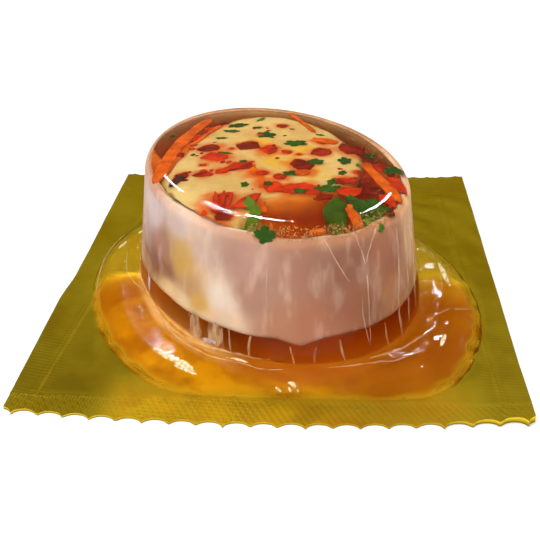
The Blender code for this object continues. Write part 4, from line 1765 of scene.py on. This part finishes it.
    def build(self) -> bpy.types.Object:
        """Build every bit of this kind.

        Returns:
            The finished object.
        """
        chance = np.random.default_rng(self.seed)
        work = MeshWork()
        shades = []
        for bit in (*self.bits, *self._crumbs(chance)):
            count = self._one(work, bit, chance)
            shades.append(np.full(count, chance.uniform()))
        name = self.kind.value.replace(" ", "_") + "_bits"
        thing = work.make(name, self.finish.make())
        mark_points(thing, "shade", np.concatenate(shades))
        return settle(thing, "")


@dataclass
class AirBubbles:
    """Beads of air along the ham's top edge."""

    form: OvalForm = field(default_factory=OvalForm)
    runs: tuple[tuple[float, float, float, float, float, int], ...] = (
        (-130.0, -62.0, 37.8, 39.2, 5.2, 620),
        (-62.0, 40.0, 38.2, 39.8, 8.0, 340),
        (150.0, 180.0, 37.9, 38.8, 4.0, 40),
    )
    seed: int = 5
    finish: BubbleReflectionFinish = field(default_factory=BubbleReflectionFinish)

    def _bead(self, work: MeshWork, place: np.ndarray, size: np.ndarray) -> None:
        """Add one round or flattened bead."""
        turn = np.linspace(0.0, 2.0 * math.pi, 8, endpoint=False)
        rows = []
        for slope in np.radians([-60.0, -20.0, 20.0, 60.0]):
            ring = np.column_stack([np.cos(slope) * np.cos(turn), np.cos(slope) * np.sin(turn), np.full(8, math.sin(slope))])
            rows.append(place + ring * size)
        rows = np.array(rows)
        numbers = work.add(rows)
        work.sheet(numbers, wrap=True)
        work.fan(numbers[-1], place + np.array([0.0, 0.0, size[2]]))
        work.fan(numbers[0], place - np.array([0.0, 0.0, size[2]]), flip=True)

    def build(self) -> bpy.types.Object:
        """Build the bubbles.

        Returns:
            The finished object.
        """
        chance = np.random.default_rng(self.seed)
        work = MeshWork()
        for first, last, low, high, deep, count in self.runs:
            for _ in range(count):
                angle = math.radians(chance.uniform(first, last))
                z = chance.uniform(low, high) * MM
                spot = self.form.at(angle, self.form.wall_offset(z) - chance.uniform(1.0, deep) * MM, z)
                size = chance.uniform(0.08, 0.24) * MM
                self._bead(work, spot, np.array([size, size, 0.8 * size]))
        return settle(work.make("air_beads", self.finish.make()), "")


def garnish() -> list[Flakes]:
    """Every kind of flake and leaf, with where its bits lie.

    Returns:
        One Flakes for each kind.
    """
    red = (
        Bit(-17.0, -6.0, 7.4, 6.0, -25.0), Bit(-10.0, -12.7, 7.0, 5.2, 20.0), Bit(-14.2, -16.0, 4.0, 3.8, 10.0),
        Bit(-19.7, -18.0, 4.4, 4.2, 45.0), Bit(-2.8, -0.2, 6.4, 5.6, 25.0), Bit(2.6, -1.8, 2.8, 2.8, 0.0),
        Bit(13.0, 6.2, 4.8, 3.6, 10.0, 1.6), Bit(-3.1, -17.4, 3.6, 3.2, -10.0), Bit(1.7, -20.0, 3.0, 4.0, 0.0),
        Bit(0.0, -26.6, 5.6, 6.8, 15.0), Bit(4.2, -27.6, 5.4, 6.4, -20.0), Bit(9.2, -27.6, 6.0, 6.2, 25.0),
        Bit(20.0, -21.8, 5.4, 4.0, 10.0), Bit(20.4, -28.6, 5.2, 5.8, -10.0), Bit(28.8, -12.2, 4.2, 5.0, 20.0),
        Bit(32.4, -22.8, 4.6, 7.6, 10.0, 2.4), Bit(30.0, -32.0, 4.0, 5.4, 0.0, 3.0), Bit(-6.0, -36.2, 5.0, 8.6, -14.0, 1.9, 10.0),
        Bit(-14.0, -36.4, 1.5, 8.4, 6.0, 1.7, 8.0), Bit(-12.3, -35.7, 1.6, 9.8, 2.0, 1.6, 8.0),
        Bit(-10.4, -36.2, 1.5, 8.8, -6.0, 1.7, 8.0), Bit(-12.0, -39.6, 6.0, 2.4, -8.0, 1.8, 8.0),
        Bit(-12.6, -32.4, 4.6, 1.8, 12.0, 1.5, 4.0),
        Bit(-25.9, 10.8, 5.2, 4.8, 20.0, 2.4), Bit(-13.6, 0.2, 1.8, 1.6, 20.0), Bit(-20.4, -11.4, 1.8, 1.7, 0.0),
        Bit(-25.5, 0.8, 1.7, 1.5, 40.0), Bit(-16.4, -40.2, 1.8, 1.5, 0.0, 1.8), Bit(22.6, -16.0, 2.2, 2.0, 0.0),
        Bit(-22.5, 18.5, 4.0, 3.4, 30.0, 2.8), Bit(-6.0, 12.0, 1.4, 1.2, 0.0), Bit(6.2, -3.8, 1.5, 1.3, 0.0),
    )
    dusky = (
        Bit(-20.0, 1.4, 6.6, 5.6, 0.0), Bit(-8.7, 3.0, 5.6, 6.4, 10.0), Bit(0.0, 20.4, 3.0, 2.8, 20.0, 2.6),
        Bit(12.3, -1.9, 5.8, 4.8, -10.0, 2.3), Bit(21.4, 1.2, 8.6, 7.4, 15.0, 3.4), Bit(7.0, -11.0, 5.6, 7.0, 10.0),
        Bit(25.2, -20.0, 3.4, 4.8, 0.0, 2.6), Bit(-11.2, -43.0, 4.2, 2.6, 0.0, 2.0, 12.0), Bit(29.4, -37.4, 3.0, 3.4, 0.0, 2.8),
        Bit(-28.2, -3.7, 1.8, 3.0, 0.0), Bit(27.0, -27.0, 4.6, 5.0, 30.0, 3.2), Bit(13.8, -31.6, 4.4, 3.4, 0.0, 3.0),
        Bit(25.5, -34.0, 4.8, 4.6, 10.0, 4.4), Bit(-19.0, 22.8, 4.6, 2.8, 20.0, 3.2), Bit(-25.2, -19.0, 3.4, 3.4, 30.0, 1.4),
    )
    green = (
        Bit(-4.5, 12.2, 5.8, 6.4, 10.0), Bit(4.5, 4.8, 7.6, 5.4, -20.0, 1.6), Bit(11.2, -9.5, 5.4, 4.6, 30.0, 1.5),
        Bit(4.8, -17.8, 3.4, 5.8, 80.0, 1.5), Bit(14.2, -27.6, 6.8, 4.6, 20.0, 1.5), Bit(16.3, -22.6, 3.6, 5.2, -40.0, 1.5),
        Bit(19.5, -8.1, 4.0, 5.0, 30.0, 1.6), Bit(18.4, -17.0, 2.6, 3.0, 0.0, 1.6), Bit(26.6, -2.6, 3.4, 3.8, 60.0, 2.8),
        Bit(32.4, -13.6, 5.2, 5.8, -50.0, 1.8), Bit(11.8, 12.2, 3.4, 1.6, -20.0, 2.0), Bit(-14.3, 20.6, 7.0, 3.6, 10.0, 2.6),
        Bit(-15.4, 15.5, 5.4, 2.6, 0.0, 2.4), Bit(-17.3, 9.6, 3.8, 1.8, 10.0), Bit(-33.2, 12.0, 2.0, 3.0, 0.0, 2.4),
        Bit(-24.6, -3.8, 1.8, 1.8, 0.0), Bit(-15.0, -3.0, 5.0, 1.2, -10.0, 1.5), Bit(-9.3, -9.3, 2.4, 1.6, 0.0, 1.4),
        Bit(-7.3, -25.4, 2.2, 4.2, 10.0, 1.6), Bit(-1.4, -24.6, 2.4, 3.6, 0.0, 1.4), Bit(7.2, -29.0, 3.4, 3.6, 20.0, 1.4),
        Bit(25.4, -37.6, 8.8, 11.4, -70.0, 3.4, 34.0), Bit(20.8, -35.0, 3.4, 7.6, 10.0, 2.6, 30.0), Bit(22.4, -40.4, 4.2, 5.0, 30.0, 4.2, 34.0),
        Bit(-0.1, -50.7, 4.8, 5.4, 20.0, 3.7, 61.0), Bit(-7.4, 18.8, 3.6, 2.6, 0.0, 2.6),
    )
    pale = (
        Bit(-3.9, -41.4, 5.6, 13.0, 8.0, 4.4, 36.0), Bit(-5.4, -46.4, 6.0, 4.6, 20.0, 5.2, 34.0), Bit(-6.8, 26.2, 2.6, 5.0, -30.0, 2.4),
        Bit(23.2, -10.6, 2.4, 2.4, 0.0), Bit(25.6, -43.4, 6.4, 4.2, 0.0, 4.4, 30.0),
    )
    broad = (Bit(16.8, -39.6, 11.6, 8.0, 84.0, 4.0, 40.0),)
    black = (Bit(-26.0, -22.6, 3.2, 8.4, -22.0, 1.6, 6.0), Bit(-7.5, -12.5, 2.2, 1.4, 40.0, 1.3), Bit(-11.9, -15.8, 2.4, 1.0, 10.0, 1.3))
    return [
        Flakes(Garnish.OVAL_LEAF, broad, 0.3, FoodFinish("oval leaf", (0.008, 0.034, 0.002), (0.036, 0.088, 0.005), relief=0.2 * MM), lobes=1, tilt=2.0, seed=9),
        Flakes(Garnish.RED_PEPPER, red, 0.7, crumbs=34, swell=1.2, finish=FoodFinish("red pepper", (0.13, 0.004, 0.001), (0.50, 0.034, 0.003), glow=0.2), seed=3),
        Flakes(Garnish.DARK_PEPPER, dusky, 0.6, crumbs=16, swell=1.25, finish=FoodFinish("dark pepper", (0.06, 0.003, 0.001), (0.27, 0.022, 0.003)), seed=4),
        Flakes(Garnish.GREEN_LEAF, green, 0.25, crumbs=10, swell=1.08, finish=FoodFinish("green leaf", (0.010, 0.042, 0.004), (0.026, 0.080, 0.006), relief=0.2 * MM), lobes=5, seed=6),
        Flakes(Garnish.PALE_LEAF, pale, 0.3, FoodFinish("pale leaf", (0.036, 0.105, 0.006), (0.080, 0.170, 0.015), relief=0.2 * MM), lobes=3, tilt=4.0, seed=7),
        Flakes(Garnish.BLACK_FLECK, black, 0.5, FoodFinish("black fleck", (0.03, 0.012, 0.008), (0.09, 0.015, 0.008)), seed=8),
    ]


def pepper_stains(toppings: list[Flakes]) -> tuple[tuple[float, float, float], ...]:
    """Where the pepper's juice stains the filling: place and reach of each patch, in mm."""
    red = (Garnish.RED_PEPPER, Garnish.DARK_PEPPER)
    bits = [bit for topping in toppings if topping.kind in red for bit in topping.bits]
    return tuple((bit.x, bit.y, 0.66 * max(bit.length, bit.width) + 1.1) for bit in bits)


# ---------------------------------------------------------------- studio


@dataclass(frozen=True)
class Lamp:
    """One soft area lamp that looks at the pack."""

    name: str
    place: tuple[float, float, float]
    size: tuple[float, float]
    power: float
    shines: bool = False
    aim: tuple[float, float, float] = (0.0, 0.0, 0.02)
    colour: Colour = (1.0, 1.0, 1.0)

    def build(self) -> bpy.types.Object:
        """Build the lamp."""
        data = bpy.data.lights.new(self.name, "AREA")
        data.shape = "RECTANGLE"
        data.size, data.size_y = self.size
        data.energy = self.power
        data.color = self.colour
        thing = bpy.data.objects.new(self.name, data)
        thing.location = self.place
        look = Vector(self.aim) - Vector(self.place)
        thing.rotation_euler = look.to_track_quat("-Z", "Y").to_euler()
        thing.visible_glossy = self.shines
        bpy.context.scene.collection.objects.link(thing)
        return thing


@dataclass(frozen=True)
class Tube:
    """One tube far off, whose ends are azimuths from the back and heights, in degrees."""

    name: str
    start: tuple[float, float]
    end: tuple[float, float]
    width: float
    power: float
    away: float = 1.25

    def _spot(self, azimuth: float, height: float) -> Vector:
        """Place of one end."""
        across, up = math.radians(azimuth), math.radians(height)
        flat = Vector((math.sin(across), math.cos(across), 0.0)) * math.cos(up)
        return (flat + Vector((0.0, 0.0, math.sin(up)))) * self.away

    def build(self) -> bpy.types.Object:
        """Build the lamp."""
        start, end = self._spot(*self.start), self._spot(*self.end)
        data = bpy.data.lights.new(self.name, "AREA")
        data.shape = "RECTANGLE"
        data.size, data.size_y = (end - start).length, self.width
        data.energy = self.power
        thing = bpy.data.objects.new(self.name, data)
        middle = 0.5 * (start + end)
        along = (end - start).normalized()
        away = (middle - along * middle.dot(along)).normalized()
        turn = Matrix((along, away.cross(along), away)).transposed()
        thing.matrix_world = Matrix.Translation(middle) @ turn.to_4x4()
        thing.visible_diffuse = False
        thing.visible_transmission = False
        bpy.context.scene.collection.objects.link(thing)
        return thing


@dataclass
class Studio:
    """Floor, room light, lamps and camera."""

    floor_size: float = 6.0
    horizon: float = 0.20
    low_band: float = 0.19
    backdrop: float = 0.9
    zenith: float = 0.55
    camera_place: tuple[float, float, float] = (0.01618, -0.2461, 0.1368)
    camera_turn: tuple[float, float, float] = (61.192, 1.262, 3.826)
    lens: float = 60.0
    lamps: tuple[Lamp, ...] = (
        Lamp("overhead", (-0.10, 0.05, 1.10), (1.2, 1.2), 13.0),
        Lamp("front fill", (0.12, -0.95, 0.62), (0.9, 0.5), 5.0),
        Lamp("left front", (-0.75, -0.45, 0.35), (0.4, 0.4), 2.2),
    )
    tubes: tuple[Tube, ...] = (
        Tube("outer left tube 1", (-31.0, 28.0), (-33.0, 36.6), 0.13, 8.2),
        Tube("outer left tube 2", (-33.6, 43.5), (-30.5, 56.0), 0.09, 9.0),
        Tube("inner left tube 1", (-20.5, 37.5), (-17.0, 43.5), 0.08, 6.4),
        Tube("inner left tube 2", (-12.8, 39.5), (-5.0, 43.5), 0.12, 30.0),
        Tube("outer right tube", (19.5, 43.0), (17.5, 30.0), 0.12, 12.0),
        Tube("inner right tube", (13.5, 40.5), (15.2, 29.0), 0.11, 7.0),
    )

    def _floor(self) -> bpy.types.Object:
        """Build the floor."""
        half = 0.5 * self.floor_size
        work = MeshWork()
        spots = np.linspace(-half, half, 9)
        x, y = np.meshgrid(spots, spots)
        work.sheet(work.add(np.stack([x, y, np.full(x.shape, -0.1 * MM)], axis=-1)), wrap=False)
        thing = work.make("studio_floor", FloorFinish().make(), check=False)
        return thing

    def _room(self) -> None:
        """Light the room: greyer towards the horizon and brighter overhead."""
        world = bpy.data.worlds.new("room")
        bpy.context.scene.world = world
        world.use_nodes = True
        tree = world.node_tree
        tree.nodes.clear()
        output = tree.nodes.new("ShaderNodeOutputWorld")
        place = tree.nodes.new("ShaderNodeTexCoord")
        axes = tree.nodes.new("ShaderNodeSeparateXYZ")
        ramp = tree.nodes.new("ShaderNodeMapRange")
        ramp.interpolation_type = "SMOOTHSTEP"
        ramp.inputs["From Min"].default_value = 0.25
        ramp.inputs["From Max"].default_value = 0.85
        ramp.inputs["To Min"].default_value = self.horizon
        ramp.inputs["To Max"].default_value = self.zenith
        low = tree.nodes.new("ShaderNodeMapRange")
        low.interpolation_type = "SMOOTHSTEP"
        for name, value in (("From Min", 0.54), ("From Max", 0.36), ("To Min", 0.0), ("To Max", self.low_band)):
            low.inputs[name].default_value = value
        uneven = tree.nodes.new("ShaderNodeTexNoise")
        uneven.inputs["Scale"].default_value = 2.6
        uneven.inputs["Detail"].default_value = 2.0
        spread = tree.nodes.new("ShaderNodeMapRange")
        for name, value in (("From Min", 0.3), ("From Max", 0.7), ("To Min", 0.55), ("To Max", 1.45)):
            spread.inputs[name].default_value = value
        total = tree.nodes.new("ShaderNodeMath")
        total.operation = "ADD"
        patchy = tree.nodes.new("ShaderNodeMath")
        patchy.operation = "MULTIPLY"
        back = tree.nodes.new("ShaderNodeBackground")
        tree.links.new(place.outputs["Generated"], axes.inputs[0])
        tree.links.new(place.outputs["Generated"], uneven.inputs["Vector"])
        tree.links.new(axes.outputs[2], ramp.inputs["Value"])
        tree.links.new(axes.outputs[2], low.inputs["Value"])
        tree.links.new(ramp.outputs[0], total.inputs[0])
        tree.links.new(low.outputs[0], total.inputs[1])
        tree.links.new(uneven.outputs["Fac"], spread.inputs["Value"])
        tree.links.new(total.outputs[0], patchy.inputs[0])
        tree.links.new(spread.outputs[0], patchy.inputs[1])
        seen = tree.nodes.new("ShaderNodeLightPath")
        shown = tree.nodes.new("ShaderNodeMix")
        shown.inputs[3].default_value = self.backdrop
        tree.links.new(seen.outputs["Is Camera Ray"], shown.inputs[0])
        tree.links.new(patchy.outputs[0], shown.inputs[2])
        tree.links.new(shown.outputs[0], back.inputs["Strength"])
        tree.links.new(back.outputs[0], output.inputs["Surface"])

    def _camera(self) -> bpy.types.Object:
        """Build the camera and make it the scene's own."""
        data = bpy.data.cameras.new("camera")
        data.lens = self.lens
        data.sensor_width = 36.0
        data.clip_start = 0.01
        thing = bpy.data.objects.new("camera", data)
        thing.location = self.camera_place
        thing.rotation_euler = [math.radians(turn) for turn in self.camera_turn]
        bpy.context.scene.collection.objects.link(thing)
        bpy.context.scene.camera = thing
        return thing

    def build(self) -> None:
        """Build the studio."""
        self._camera()
        self._floor()
        self._room()
        for lamp in self.lamps:
            lamp.build()
        self.tube_lamps = [tube.build() for tube in self.tubes]
        scene = bpy.context.scene
        scene.view_settings.view_transform = "Standard"
        scene.view_settings.look = "None"


    def glint_on(self, film: bpy.types.Object) -> None:
        """Let the slim tubes glint on the film alone."""
        only = bpy.data.collections.new("film alone")
        only.objects.link(film)
        for thing in self.tube_lamps:
            thing.light_linking.receiver_collection = only


def main() -> None:
    """Build the pack piece by piece and log each piece's face count."""
    logging.basicConfig(level=logging.INFO, format="%(name)s: %(message)s")
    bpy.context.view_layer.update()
    studio = Studio()
    studio.build()
    toppings = garnish()
    filling = EggFilling()
    filling.stains += pepper_stains(toppings)
    makers = [filling, GoldBase(), AmberJelly(), HamWall(), CarrotStrips(), *toppings]
    makers.append(AirBubbles())
    # The folds, the pockets of air and the rim glints are coloured as painted highlights and painted reflections.
    foot_highlight_finish = FoldHighlightFinish("foot fold highlight", (0.92, 0.62, 0.34), 0.30)
    makers.extend([ClearFilm(), FilmFolds(), FilmFolds(name="film_foot_fold_highlights", ribs=FOOT_FOLD_HIGHLIGHTS, finish=foot_highlight_finish)])
    pocket_reflection_finish = FoldHighlightFinish("air pocket reflection", (0.74, 0.66, 0.76), 0.85)
    makers.append(FilmFolds(name="foot_air_pocket_reflections", ribs=AIR_POCKETS, finish=pocket_reflection_finish))
    glint_finish = FoldHighlightFinish("rim glint", (0.98, 0.84, 0.52), 0.80)
    makers.append(FilmFolds(name="film_rim_glints", ribs=RIM_GLINTS, finish=glint_finish))
    for maker in makers:
        piece = maker.build()
        LOG.info("%s: %d faces", piece.name, len(piece.data.polygons))
        if isinstance(maker, ClearFilm):
            studio.glint_on(piece)
        if isinstance(maker, EggFilling):
            corners = [vertex.co.copy() for vertex in piece.data.vertices]
            ground = BVHTree.FromPolygons(corners, [tuple(face.vertices) for face in piece.data.polygons])
            for topping in toppings:
                topping.ground = ground


if __name__ == "__main__":
    main()
